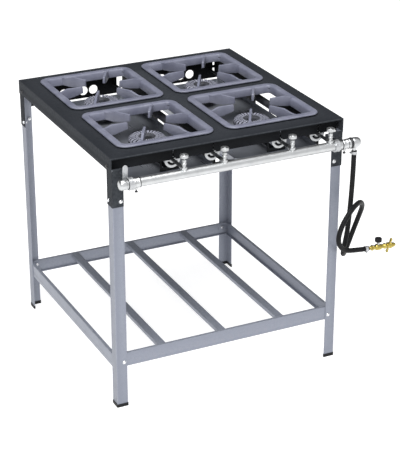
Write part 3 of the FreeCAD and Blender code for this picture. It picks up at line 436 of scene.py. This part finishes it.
def lathe(grid, profile, turns, matrix=Matrix(), shape=None):
    """Turn (radius, height) points about Z, in a number of equal turns or at a list of angles.

    shape(angle, radius, height) may change a point. A profile that starts and ends on the axis
    closes in poles, any other one closes on itself."""
    poles = profile[0][0] == 0 and profile[-1][0] == 0
    inner = profile[1:-1] if poles else profile
    rings = []
    for turn in full_turn(turns) if isinstance(turns, int) else turns:
        ring = []
        for radius, height in inner:
            r, z = shape(turn, radius, height) if shape else (radius, height)
            ring.append(grid.verts.new(matrix @ Vector((r * math.cos(turn), r * math.sin(turn), z))))
        rings.append(ring)
    skin(grid, rings, closed=not poles)
    if poles:
        low = grid.verts.new(matrix @ Vector((0, 0, profile[0][1])))
        high = grid.verts.new(matrix @ Vector((0, 0, profile[-1][1])))
        for one, two in zip(rings, rings[1:] + rings[:1]):
            grid.faces.new((low, two[0], one[0]))
            grid.faces.new((high, one[-1], two[-1]))


def prism(grid, points, low, high, matrix=Matrix(), round_off=0.0):
    """Extrude a polygon of (x, y) points between two heights; round_off bevels its edges."""
    loops = [[grid.verts.new(matrix @ Vector((x, y, z))) for x, y in points] for z in (low, high)]
    faces = [grid.faces.new(list(reversed(loops[0]))), grid.faces.new(loops[1])]
    for step in range(len(points)):
        after = (step + 1) % len(points)
        faces.append(grid.faces.new((loops[0][step], loops[0][after], loops[1][after], loops[1][step])))
    if round_off:
        edges = list({edge for face in faces for edge in face.edges})
        bmesh.ops.bevel(grid, geom=edges, offset=round_off, segments=3, profile=0.5,
                        affect="EDGES", clamp_overlap=True)


def hexagon(radius):
    """Corners of a hexagon that far from its centre."""
    return [(radius * math.cos(math.pi * step / 3), radius * math.sin(math.pi * step / 3))
            for step in range(6)]


def block(grid, low, high, round_off):
    """A box between two corners with its edges rounded off."""
    (x0, y0, z0), (x1, y1, z1) = low, high
    prism(grid, [(x0, y0), (x1, y0), (x1, y1), (x0, y1)], z0, z1, round_off=round_off)


def facing(place, ahead):
    """A frame at a point whose Z looks ahead."""
    return Matrix.Translation(place) @ Vector(ahead).to_track_quat("Z", "Y").to_matrix().to_4x4()


def piece_from(grid, name, slot, body, *replaced, crease=38):
    """Turn a millimetre bmesh into a finished piece that may replace CAD nodes."""
    bmesh.ops.recalc_face_normals(grid, faces=grid.faces)
    bmesh.ops.scale(grid, vec=(MM, MM, MM), verts=grid.verts)
    data = bpy.data.meshes.new(name)
    grid.to_mesh(data)
    grid.free()
    data.shade_smooth()
    data.set_sharp_from_angle(angle=math.radians(crease))
    piece = bpy.data.objects.new(name, data)
    SCENE.collection.objects.link(piece)
    finish_with(piece, slot, body)
    if replaced:
        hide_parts(*replaced)
    return piece


# ---------------------------------------------------------------- grates
def rounded_square(half, radius, per_corner=9):
    """Stations round a square with round corners: (point, outward direction)."""
    stations = []
    for corner in range(4):
        start = corner * math.pi / 2
        middle = Vector(((half - radius) * (1 if corner in (0, 3) else -1),
                         (half - radius) * (1 if corner in (0, 1) else -1), 0))
        for step in range(per_corner + 1):
            turn = start + math.pi / 2 * step / per_corner
            outward = Vector((math.cos(turn), math.sin(turn), 0))
            stations.append((middle + outward * radius, outward))
    return stations


GRATE_HALF, GRATE_CORNER = 150, 32           # half the side and the corner's radius
FINS = 6
# the rim's section: (offset outward from the outer edge, height over the panel)
RIM_LOOP = [(-9, 0.1), (-8.4, 3.1), (-1.2, 3.4), (-0.3, 4.0), (0, 5.0), (-0.3, 6.5), (-1.3, 7.9),
            (-3.2, 8.9), (-6, 9.05), (-17, 9.05), (-19.4, 8.5), (-21.3, 6.9), (-22.4, 4.2),
            (-24.4, -12.6), (-23.9, -14.4), (-22.8, -15), (-21.5, -14.2), (-21, -12), (-20.6, 0.1)]


def fin_outline(turn):
    """One fin's outline, (distance from the grate's centre, height), out to the square rim."""
    to_side = max(abs(math.cos(turn)), abs(math.sin(turn)))
    far = (GRATE_HALF - 9) / to_side
    foot = (GRATE_HALF - 19) / to_side
    return [(60, -1), (61.2, 16.6), (63, 18), (111, 18), (136, 8), (far, 8), (far, 3),
            (foot - 2, 1), (foot - 4, -14), (119, -14.6), (93, -10.5), (61, -2)]


def add_grate(end, side):
    """A square cast rim with six fins that carry the pan."""
    grid = bmesh.new()
    sweep_ring(grid, RIM_LOOP, rounded_square(GRATE_HALF, GRATE_CORNER))
    for turn in full_turn(FINS):
        # the outline lies in the fin's own upright plane
        upright = Matrix.Rotation(turn, 4, "Z") @ Matrix.Rotation(math.pi / 2, 4, "X")
        prism(grid, fin_outline(turn), -3.5, 3.5, upright, round_off=1.1)
    bmesh.ops.translate(grid, vec=bay_centre(end, side) + Vector((0, 0, TOP)), verts=grid.verts)
    name = f"{end}_{side}_grate"
    piece_from(grid, f"{name}_cast", "grate_iron", BODY_OF[name], name, crease=50)


# ---------------------------------------------------------------- burner crowns
SLOTS = 26                                   # radial slots in each of two rows
SLOT_HALF = 2.35                             # half a slot's width, in degrees
GROOVE_RADIUS = 35                           # of the ring groove between the two rows of slots
HUB_RADIUS = 24.5
CROWN_HEIGHT = 18                            # over the face that rests on the bowl
# the crown's section: (radius, height over that face), from the bore round and back
CROWN_LOOP = [(13, 0.1), (40, 0.1), (42, -5.8), (44.7, -5.9), (44.9, 0.1), (52.6, 0.1), (53.8, 1.4),
              (54, 3), (54, 7), (53.9, 11.4), (52.6, 13.6), (50.4, 16.2), (47.5, 17.6), (44, 18),
              (40, 18), (36, 17.9), (35.3, 17.3), (34.7, 16), (33.9, 16), (33.2, 17.3), (32, 17.9),
              (25, 17.9), (24, 17.5), (22.6, 16), (17.4, 15.6), (15.4, 14.9), (13.7, 13.6),
              (13, 11.6)]


def crown_turns():
    """Angles that land on both walls of every slot, and three between two slots."""
    turns = []
    for middle in full_turn(SLOTS):
        turns += [middle + math.radians(step) for step in (-2.5, -2.2, 2.2, 2.5, 5, 6.9, 8.8)]
    return turns


def off_slot(turn):
    """Degrees from the nearest slot's middle."""
    period = 360 / SLOTS
    return abs((math.degrees(turn) + period / 2) % period - period / 2)


def crown_shape(turn, radius, height):
    """Sink the radial slots into the top, deeper outside the ring groove."""
    if off_slot(turn) < SLOT_HALF:
        if height > 8 and radius > GROOVE_RADIUS:
            return radius - (2.5 if radius > 53 else 0), max(height - 8, 5)
        if height > 14 and HUB_RADIUS < radius < GROOVE_RADIUS:
            return radius, min(height, 17.9) - 6
    return radius, height


def in_painted_shade(turn, radius, height):
    """Painted shade lies in the slots, round the hub and low on the crown's side."""
    in_slot = radius > 24.4 and height > 3 and off_slot(turn) < 2.6
    return in_slot or radius < 24.6 or (radius > 51 and height < 9.2)


def add_crown(end, side):
    """A cast crown with two rows of slots, with painted shade in the slots, round the hub and low on
    its side.
    """
    name = f"{end}_{side}_crown"
    foot = bay_centre(end, side) + Vector((0, 0, extent(name)[1].z - CROWN_HEIGHT))
    grid = bmesh.new()
    lathe(grid, CROWN_LOOP, crown_turns(), Matrix.Translation(foot), crown_shape)
    crown = piece_from(grid, f"{name}_cast", "crown_iron", BODY_OF[name], name, crease=32)
    # the second material is painted shade, laid on the faces in the slots, round the hub and low on the
    # side
    crown.data.materials.append(MATERIALS["painted_shade_iron"])
    for polygon in crown.data.polygons:
        x, y, height = polygon.center / MM - foot
        if in_painted_shade(math.atan2(y, x), math.hypot(x, y), height):
            polygon.material_index = 1


# ---------------------------------------------------------------- tap knobs
def ribs(count, depth, low, high):
    """A shape that cuts shallow flutes into the rim between two heights."""
    def shape(turn, radius, height):
        if low <= height <= high and radius > 6:
            radius -= depth * (0.5 + 0.5 * math.cos(turn * count)) ** 2
        return radius, height
    return shape


KNOB_HEIGHT = 10


def add_tap_knob(end, side):
    """A fluted disc with a dished top, on the spindle that goes down into the tap."""
    name = f"{end}_{side}_tap_knob"
    grid = bmesh.new()
    profile = [(0, -16), (2.9, -16), (2.9, -3.4), (3.6, -3), (4.6, -2.2), (4.9, -0.4), (6.4, 0.1),
               (10.4, 0.2), (11.4, 0.6), (11.9, 1.3), (12, 2), (12, 8), (11.8, 8.9), (11.2, 9.5),
               (10.2, 9.8), (7.4, 9.8), (6.8, 9.3), (4.4, 9.3), (3.8, 9.9), (0, 9.95)]
    place = Vector((tap_x(end, side), MANIFOLD.y, extent(name)[1].z - KNOB_HEIGHT))
    lathe(grid, profile, 80, Matrix.Translation(place), ribs(20, 0.7, 0.5, 9.6))
    piece_from(grid, f"{name}_turned", "chrome", BODY_OF[name], name, crease=45)


# ---------------------------------------------------------------- tap bodies and injectors
def add_tap_bodies():
    """Turned bodies on the manifold, and the injectors that run back to the shutters."""
    chrome, dark = bmesh.new(), bmesh.new()
    for end, side in BAYS:
        x = tap_x(end, side)
        base = Matrix.Translation(Vector((x, MANIFOLD.y, MANIFOLD.z)))
        lathe(chrome, [(0, 10), (8.4, 10.2), (8.8, 11), (7.8, 12), (7.8, 13.4), (9, 14.2),
                       (9.4, 15.6), (9.4, 19), (8.8, 20.6), (6.4, 21.6), (5.7, 23), (5.6, 27),
                       (6.8, 28), (7.4, 29.2), (7.4, 31.6), (6.8, 32.8), (5.5, 33.6), (5.3, 35),
                       (0, 35.2)], 40, base)
        prism(chrome, hexagon(6.8), 34.6, 41.9, base, round_off=0.5)
        lathe(chrome, [(0, 0), (9, 0), (9, 11), (0, 11)], 40, base)
        nose = facing(Vector((x, MANIFOLD.y, SHUTTER.z)), (0, 1, 0))
        prism(chrome, hexagon(7.4), 7, 18, nose, round_off=0.5)
        lathe(dark, [(0, 15), (5.9, 15), (5.9, 19), (5, 19.4), (5, 55), (4.4, 55.6), (4.4, 57),
                     (5, 57.6), (5, 82), (4.2, 83), (2.2, 90), (0, 90)], 28, nose)
    piece_from(chrome, "tap_body_set", "chrome", "stand", "tap_bodies")
    piece_from(dark, "injector_set", "black_iron", "stand")


# ---------------------------------------------------------------- bolts and nuts
WASHER_RADIUS = 6
BOLT_INSET = 27                              # from the stand's corner to a bolt, along either face


def add_bolt(grid, place, outward, grip):
    """Domed head and washer outside, hexagon nut and thread end inside."""
    at = facing(Vector(place), outward)
    lathe(grid, [(0, -1), (5.9, -0.9), (WASHER_RADIUS, 0.2), (5.9, 0.8), (5.5, 1), (5.3, 1.6),
                 (4.8, 2.6), (3.6, 3.5), (1.9, 3.95), (0, 4)], 24, at)
    lathe(grid, [(0, -grip - 7), (2.4, -grip - 7), (2.95, -grip - 6.3), (2.95, 0), (0, 0)], 16, at)
    prism(grid, hexagon(5.5), -grip - 5, -grip, at, round_off=0.45)


def add_bolts():
    """Each corner has a rail bolt, two socket bolts and a dark one through the panel's flange."""
    rail, socket, dark = bmesh.new(), bmesh.new(), bmesh.new()
    low, high = extent("socket_bolts")
    rail_z, socket_z, flange_z = centre("rail_bolts").z, low.z + WASHER_RADIUS, high.z - WASHER_RADIUS
    for face_y, out_y in ((FRONT, -1), (BACK, 1)):
        side_y = face_y - out_y * BOLT_INSET
        for face_x, out_x in ((LEFT, -1), (RIGHT, 1)):
            x = face_x - out_x * BOLT_INSET
            add_bolt(rail, (x, face_y - out_y * SHEET, rail_z), (0, out_y, 0), grip=5)
            add_bolt(socket, (x, face_y, socket_z), (0, out_y, 0), grip=3.5)
            add_bolt(socket, (face_x - out_x * SHEET, side_y, socket_z), (out_x, 0, 0), grip=3.5)
            add_bolt(dark, (face_x, side_y, flange_z), (out_x, 0, 0), grip=3)
    piece_from(rail, "rail_bolt_set", "bolt_steel", "stand", "rail_bolts")
    piece_from(socket, "socket_bolt_set", "bolt_steel", "stand", "socket_bolts")
    piece_from(dark, "upper_bolt_set", "black_iron", "stand")


# ---------------------------------------------------------------- manifold ends
def along_manifold(inset):
    """A frame on the manifold's axis, that far from the stand's left side, looking right."""
    return facing(Vector((LEFT + inset, MANIFOLD.y, MANIFOLD.z)), (1, 0, 0))


def add_end_cap():
    """A spun cap with a domed end and a beaded lip."""
    grid = bmesh.new()
    lathe(grid, [(0, 1.2), (6, 1.3), (10.4, 2), (13.2, 3.6), (14.6, 6), (15, 9), (15, 21),
                 (14.6, 22.2), (13.8, 22.8), (13.8, 25.6), (13.6, 26.9), (0, 26.9)],
          48, along_manifold(0))
    piece_from(grid, "end_cap_spun", "chrome", "stand", "manifold_end_cap")


COLLARS = (43.5, 697)                        # insets of the collars' left edges
COLLAR_WIDTH = 17.4
SEAL_RINGS = (26.95, 42.4, 61.1, 695.3, 714.5)


def add_collars():
    """Two collars, each with a boss and a dark screw below, and the dark rings that seal them."""
    grid, dark = bmesh.new(), bmesh.new()
    for inset in COLLARS:
        lathe(grid, [(13.55, 0), (14.4, 0.1), (14.9, 0.9), (14.9, 3.4), (14.2, 4.2), (14.2, 13.2),
                     (14.9, 14.1), (14.9, 16.6), (14.4, 17.3), (13.55, COLLAR_WIDTH)],
              48, along_manifold(inset))
        middle = Vector((LEFT + inset + COLLAR_WIDTH / 2, MANIFOLD.y, MANIFOLD.z))
        block(grid, middle - Vector((4, 3, 20)), middle + Vector((4, 3, -12)), 0.7)
        lathe(dark, [(0, -27.8), (4.4, -27.7), (4.6, -27.1), (4.6, -26), (4.3, -25.6), (2.1, -25.2),
                     (1.9, -18), (0, -18)], 24, Matrix.Translation(middle))
    for inset in SEAL_RINGS:
        lathe(dark, [(13.6, 0), (15, 0), (15.3, 0.3), (15.3, 0.9), (15, 1.1), (13.6, 1.1)],
              48, along_manifold(inset))
    piece_from(grid, "collar_pair", "chrome", "stand", "manifold_collars")
    piece_from(dark, "collar_screws", "black_iron", "stand")


ELBOW_INSET = 715.6                          # of the elbow's left end, from the stand's left side


def add_inlet_elbow():
    """A ferrule, a fluted dark union ring, the elbow's dome and the spigot that takes the hose."""
    bright, dark = bmesh.new(), bmesh.new()
    at = along_manifold(ELBOW_INSET)
    lathe(bright, [(0, 0), (14.4, 0.1), (15, 1), (15, 6.4), (14.4, 7.3), (0, 7.4)], 48, at)
    lathe(dark, [(0, 7.2), (15.9, 7.4), (16.5, 8.2), (16.5, 13.4), (15.9, 14.3), (0, 14.4)],
          48, at, ribs(24, 0.6, 7.4, 14.4))
    lathe(bright, [(0, 13.9), (14.2, 14.1), (15.1, 15.4), (15.5, 19.4), (15.4, 26.4), (14.8, 31.4),
                   (13.2, 36), (10.4, 39.4), (6, 41.2), (0, 41.4)], 48, at)
    drop = Matrix.Translation(HOSE_START)
    prism(bright, hexagon(8.4), 6.2, 11.4, drop, round_off=0.6)
    lathe(bright, [(0, 0.1), (5.4, 0.2), (5.4, 6), (7, 6.6), (7.4, 9), (8.2, 11.6), (8.4, 15),
                   (0, 15)], 36, drop)
    piece_from(bright, "elbow_body", "chrome", "stand", "inlet_elbow")
    piece_from(dark, "elbow_ring", "black_iron", "stand")


STRAP_WIDTH = 15
STRAP_FRONT = MANIFOLD.y + 15.1              # the straps stand just behind the tube


def add_bracket(bands, strap_grid, arms, band, strap, crest_z, foot, foot_top):
    """A band round the tube, a strap with a round crest, its arm, and the foot on the flange.

    band and strap are insets of left edges from the stand's left side, foot the inset of both
    edges of the foot."""
    lathe(bands, [(13.55, 0.2), (17.4, 0.2), (18, 0.9), (18, 3.6), (17.3, 4.4), (17.3, 10.6),
                  (18, 11.4), (18, 14.2), (17.4, 14.8), (13.55, 14.8)], 48, along_manifold(band))
    x, radius = LEFT + strap, STRAP_WIDTH / 2
    crest = [(x + radius * (1 + math.cos(math.pi * step / 12)),
              crest_z + radius * math.sin(math.pi * step / 12)) for step in range(13)]
    foot_z = MANIFOLD.z - 7.8
    upright = Matrix.Translation(Vector((0, STRAP_FRONT + 3, 0))) @ Matrix.Rotation(math.pi / 2, 4, "X")
    prism(strap_grid, [(x, foot_z), (x + STRAP_WIDTH, foot_z)] + crest, 0.05, 2.95, upright,
          round_off=0.7)
    hem = PANEL_LOW.z
    block(arms, (x + 0.5, STRAP_FRONT + 0.2, hem - 0.8), (x + 14.5, FRONT - 0.9, hem + 1.8), 0.5)
    block(arms, (LEFT + foot[0], FRONT - 1.4, hem - 15.8), (LEFT + foot[1], FRONT - 0.1, foot_top), 0.4)


def add_brackets():
    """Bright bands and the left strap, on arms painted as the body is."""
    bright, dark = bmesh.new(), bmesh.new()
    add_bracket(bright, bright, dark, band=27.5, strap=20, crest_z=762, foot=(3.5, 43), foot_top=749)
    add_bracket(bright, dark, dark, band=669.5, strap=669.5, crest_z=733, foot=(669.5, 724),
                foot_top=740.8)
    piece_from(bright, "bracket_bands", "shutter_steel", "stand", "manifold_brackets")
    piece_from(dark, "bracket_arms", "top_enamel", "stand")


# ---------------------------------------------------------------- rolled folds and eased edges
NEAR = 0.1                                   # how close a vertex is to a plane to lie on it
FOLD_TURN = 1                                # radians; an edge that turns less is left as it is
LONG_FOLD, LONG_EDGE = 100, 25               # shorter edges are left as they are


def eased(name, offset, wanted):
    """A node's own outline with the wanted edges rolled to a radius."""
    grid = bmesh.new()
    grid.from_mesh(NODES[name].data)
    grid.transform(NODES[name].matrix_world)
    bmesh.ops.scale(grid, vec=(1 / MM, 1 / MM, 1 / MM), verts=grid.verts)
    bmesh.ops.remove_doubles(grid, verts=grid.verts, dist=0.01)
    bmesh.ops.dissolve_limit(grid, angle_limit=math.radians(1), verts=grid.verts, edges=grid.edges)
    folds = [edge for edge in grid.edges
             if len(edge.link_faces) == 2 and edge.calc_face_angle(0) > FOLD_TURN
             and wanted(edge)]
    bmesh.ops.bevel(grid, geom=folds, offset=offset, segments=3, profile=0.5, affect="EDGES",
                    clamp_overlap=True)
    piece_from(grid, f"{name}_formed", SLOT_OF[name], BODY_OF[name], name, crease=30)


def panel_fold(edge):
    """The panel's long top edges at its front and sides, where the flanges are folded down."""
    if edge.calc_length() < LONG_FOLD or any(vert.co.z < TOP - NEAR for vert in edge.verts):
        return False
    return (all(abs(abs(vert.co.x) - RIGHT) < NEAR for vert in edge.verts)
            or all(abs(vert.co.y - FRONT) < NEAR for vert in edge.verts))


def long_edge(edge):
    return edge.calc_length() > LONG_EDGE


def add_eased():
    """The folded panel, and the legs, sockets, rails and slats with the edges of rolled stock."""
    eased("top_panel", 1.4, panel_fold)
    for end, side in BAYS:
        eased(f"{end}_{side}_leg", 0.7, long_edge)
        eased(f"{end}_{side}_socket", 0.35, long_edge)
    for name in ("front_rail", "rear_rail", "left_rail", "right_rail",
                 "left_shelf_slat", "middle_shelf_slat", "right_shelf_slat"):
        eased(name, 0.6, long_edge)


# ---------------------------------------------------------------- air shutters
SHUTTER_CELLS = 60                           # in one turn
SHUTTER_RADII = (5.1, 7.6, 10, 17, 23.3, 24)
SHUTTER_HALVES = (0.95, 0.6, 0.95, 0.95, 0.95, 0.45)   # half the thickness at each of those radii
SHUTTER_PORT = 2                             # the ring of cells, from 10 to 17, that has the ports
SHUTTER_WEB = 3                              # cells left on each side of the two webs


def is_shutter_metal(ring, step):
    """Whether the disc has metal in a cell: it has two long ports, half a turn apart."""
    if not 0 <= ring < len(SHUTTER_RADII) - 1:
        return False
    half = step % (SHUTTER_CELLS // 2)
    return ring != SHUTTER_PORT or not SHUTTER_WEB <= half < SHUTTER_CELLS // 2 - SHUTTER_WEB


def add_air_shutter(end, side):
    """A disc with a groove round its bore, two long ports and an eased rim: one closed shell."""
    grid = bmesh.new()
    at = facing(Vector((tap_x(end, side), SHUTTER.y, SHUTTER.z)), (0, -1, 0))
    back, front = [[[grid.verts.new(at @ Vector((radius * math.cos(turn), radius * math.sin(turn),
                                                 way * half)))
                     for turn in full_turn(SHUTTER_CELLS)]
                    for radius, half in zip(SHUTTER_RADII, SHUTTER_HALVES)] for way in (-1, 1)]

    def wall(ring, step, next_ring, next_step):
        grid.faces.new((back[ring][step], back[next_ring][next_step],
                        front[next_ring][next_step], front[ring][step]))

    for step in range(SHUTTER_CELLS):
        after = (step + 1) % SHUTTER_CELLS
        for ring in range(len(SHUTTER_RADII)):
            if is_shutter_metal(ring, step):
                for layer in (back, front):
                    grid.faces.new((layer[ring][step], layer[ring][after],
                                    layer[ring + 1][after], layer[ring + 1][step]))
                if not is_shutter_metal(ring, step - 1):
                    wall(ring, step, ring + 1, step)
                if not is_shutter_metal(ring, step + 1):
                    wall(ring, after, ring + 1, after)
            if is_shutter_metal(ring, step) != is_shutter_metal(ring - 1, step):
                wall(ring, step, ring, after)
    loose = [vert for vert in grid.verts if not vert.link_faces]
    bmesh.ops.delete(grid, geom=loose, context="VERTS")
    name = f"{end}_{side}_air_shutter"
    piece_from(grid, f"{name}_pressed", "shutter_steel", BODY_OF[name], name, crease=30)


# ---------------------------------------------------------------- hose clamps and cylinder tap
LEAD = (Vector(HOSE_ROUTE[-1]) - Vector(HOSE_ROUTE[-2])).normalized()    # the tap's own direction
STEM = HOSE_END + LEAD * 32                  # where the knob's spindle crosses the body
NUT_MIDDLE = 69                              # along the body from the hose's end
WING_TURN = 25                               # degrees that the wings lean from upright


def add_clamps():
    """Worm-drive clamps: a lipped band, its housing and a hexagon-headed screw."""
    grid = bmesh.new()
    up = Vector((0, 0, 1))
    for start, along, across in ((HOSE_START - up * 12, up, Vector((-1, 0, 0))),
                                 (HOSE_END - LEAD * 12, LEAD, Vector((LEAD.z, 0, -LEAD.x)))):
        across = across.normalized()
        lathe(grid, [(7.55, 0.1), (8.5, 0.1), (8.9, 0.5), (8.9, 1.3), (8.3, 1.8), (8.3, 7.2),
                     (8.9, 7.7), (8.9, 8.5), (8.5, 8.9), (7.55, 8.9)], 44, facing(start, along))
        run = along.cross(across)
        house = facing(start + along * 4.5 + across * 9.9 - run * 6, run)
        lathe(grid, [(0, 3), (2.2, 3), (2.4, 3.4), (2.4, 9.6), (2.2, 10), (0, 10)], 20, house)
        prism(grid, hexagon(2.95), 0.1, 2.6, house, round_off=0.3)
        lathe(grid, [(0, 10), (1.5, 10), (1.5, 11.7), (1.2, 11.9), (0, 11.9)], 14, house)
    return [piece_from(grid, "clamp_pair", "shutter_steel", "stand", "hose_clamps")]


def add_tap_valve():
    """The brass casting from barbed tail to nose, and the plated bonnet round its spindle."""
    brass, bright = bmesh.new(), bmesh.new()
    at = facing(HOSE_END, LEAD)
    tail = [(0, 0.1), (4.4, 0.1), (5.2, 1.6), (4.6, 3), (5.2, 4.6), (4.6, 6), (5.2, 7.6), (5, 9.2)]
    body = [(7.2, 13.6), (7.5, 14.6), (7.5, 16), (6.8, 16.6), (6.8, 22), (7.5, 22.8), (8.9, 24.6),
            (9.5, 26), (9.5, 38), (8.9, 39.4), (7.5, 41), (6.8, 41.8), (6.8, 50), (7.5, 51),
            (8.4, 52), (8.9, 53), (8.9, 55), (8.2, 55.9), (5.5, 56.2)]
    nose = [(5.5, 78.6), (6.4, 79.1), (7, 79.8), (7, 83.8), (6.2, 85.4), (3.6, 89.8), (2.7, 89.9)]
    bore = [(2.5, 89.2), (2.5, 71), (0, 71)]
    lathe(brass, tail + body + nose + bore, 48, at)
    prism(brass, hexagon(8.9), 9.3, 13.7, at, round_off=0.5)
    up = Matrix.Translation(STEM)
    prism(bright, hexagon(5.15), 8.6, 13.2, up, round_off=0.4)
    lathe(bright, [(2.6, 13), (4.4, 13), (4.7, 13.6), (4.3, 15.4), (3.6, 16.6), (3.2, 17), (2.6, 17)],
          32, up)
    return [piece_from(brass, "tap_casting", "tap_brass", "stand", "cylinder_tap_body"),
            piece_from(bright, "tap_bonnet", "chrome", "stand")]


def add_tap_grip():
    """The cylinder tap's fluted plastic knob on its plated spindle."""
    knob, pin = bmesh.new(), bmesh.new()
    up = Matrix.Translation(STEM)
    lathe(knob, [(0, 18.1), (9.8, 18.1), (10.3, 18.5), (10.5, 19.2), (10.5, 27.8), (10.2, 28.6),
                 (9.5, 29), (7.6, 29), (6.6, 28.6), (0, 28.5)], 84, up, ribs(14, 1.1, 18.3, 28.7))
    lathe(pin, [(0, 5), (2.5, 5), (2.5, 18.4), (0, 18.4)], 20, up)
    body = BODY_OF["cylinder_tap_knob"]
    return [piece_from(knob, "tap_grip", "black_plastic", body, "cylinder_tap_knob"),
            piece_from(pin, "tap_spindle", "chrome", body)]


def add_wing_nut():
    """A grooved sleeve with two waisted wings."""
    grid = bmesh.new()
    lathe(grid, [(5.6, 62.2), (8.8, 62.2), (9.8, 63), (9.8, 66), (9.2, 67), (9.2, 71), (9.8, 72),
                 (9.8, 75), (8.8, 75.8), (5.6, 75.8)], 48, facing(HOSE_END, LEAD))
    edge = [(8, -2.9), (17, -2.2), (21, -2.6), (23.5, -4.2), (26, -4.9), (28.8, -4), (30.6, -1.8)]
    outline = edge + [(30.9, 0)] + [(out, -across) for out, across in reversed(edge)]
    wing = Matrix.Rotation(math.radians(WING_TURN), 3, LEAD) @ Vector((0, 0, 1))
    for arm in (-wing, wing):
        basis = Matrix((arm, LEAD.cross(arm), LEAD)).transposed().to_4x4()
        prism(grid, outline, -2.4, 2.4, Matrix.Translation(HOSE_END + LEAD * NUT_MIDDLE) @ basis,
              round_off=0.8)
    return [piece_from(grid, "wing_nut_forged", "tap_brass", BODY_OF["cylinder_wing_nut"],
                       "cylinder_wing_nut")]


def add_cylinder_tap():
    return add_tap_valve() + add_tap_grip() + add_wing_nut()


for end, side in BAYS:
    add_grate(end, side)
    add_crown(end, side)
    add_tap_knob(end, side)
    add_air_shutter(end, side)
add_tap_bodies()
add_bolts()
add_end_cap()
add_collars()
add_inlet_elbow()
add_brackets()
add_eased()
add_clamps() + add_cylinder_tap()


# ---------------------------------------------------------------- floor and light
FLOOR_DROP = 0.0005                          # keeps the floor just clear of the foot caps
FLOOR_GLOW = 0.74                            # lifts the pale floor to the white round the stand
# the studio's brightness from front to back, as (place, brightness)
STUDIO = [(0.0, 0.95), (0.34, 0.9), (0.54, 0.24), (0.75, 0.10), (1.0, 0.14)]


def add_floor():
    """A plain pale floor that takes the stand's soft shadow."""
    grid = bmesh.new()
    bmesh.ops.create_grid(grid, x_segments=1, y_segments=1, size=14)
    data = bpy.data.meshes.new("floor")
    grid.to_mesh(data)
    grid.free()
    floor = bpy.data.objects.new("floor", data)
    floor.location = (0, 0, -FLOOR_DROP)
    SCENE.collection.objects.link(floor)
    material, shader = new_material("pale_floor", (0.55, 0.55, 0.55), 0.9)
    shader.inputs["Emission Color"].default_value = (1, 1, 1, 1)
    shader.inputs["Emission Strength"].default_value = FLOOR_GLOW
    floor.data.materials.append(material)


def add_area_light(name, place, aim, size, watts):
    """A round soft light at a place, turned towards its aim."""
    data = bpy.data.lights.new(name, "AREA")
    data.shape = "DISK"
    data.size = size
    data.energy = watts
    light = bpy.data.objects.new(name, data)
    light.location = place
    light.rotation_euler = (Vector(aim) - Vector(place)).to_track_quat("-Z", "Y").to_euler()
    SCENE.collection.objects.link(light)


def add_world(stops):
    """A studio that is bright in front and dim behind, with a little blue in it."""
    world = bpy.data.worlds.new("studio")
    world.use_nodes = True
    tree = world.node_tree
    place = tree.nodes.new("ShaderNodeTexCoord")
    halve = tree.nodes.new("ShaderNodeMapping")
    halve.inputs["Location"].default_value = (0.5, 0.5, 0.5)
    halve.inputs["Scale"].default_value = (0.5, 0.5, 0.5)
    split = tree.nodes.new("ShaderNodeSeparateXYZ")
    ramp = tree.nodes.new("ShaderNodeValToRGB")
    while len(ramp.color_ramp.elements) < len(stops):
        ramp.color_ramp.elements.new(0.5)
    for element, (depth, bright) in zip(ramp.color_ramp.elements, stops):
        element.position = depth
        element.color = (bright, bright, bright * 1.01, 1)
    tree.links.new(place.outputs["Generated"], halve.inputs["Vector"])
    tree.links.new(halve.outputs["Vector"], split.inputs["Vector"])
    tree.links.new(split.outputs["Y"], ramp.inputs["Fac"])
    tree.links.new(ramp.outputs["Color"], tree.nodes["Background"].inputs["Color"])
    SCENE.world = world


add_floor()
add_world(STUDIO)
add_area_light("key", place=(-2.8, -3.4, 3.6), aim=(0, 0, 0.4), size=2.0, watts=110)
add_area_light("top", place=(-0.4, -0.9, 4.6), aim=(0, 0, 0), size=3.0, watts=180)
SCENE.view_settings.view_transform = "Standard"
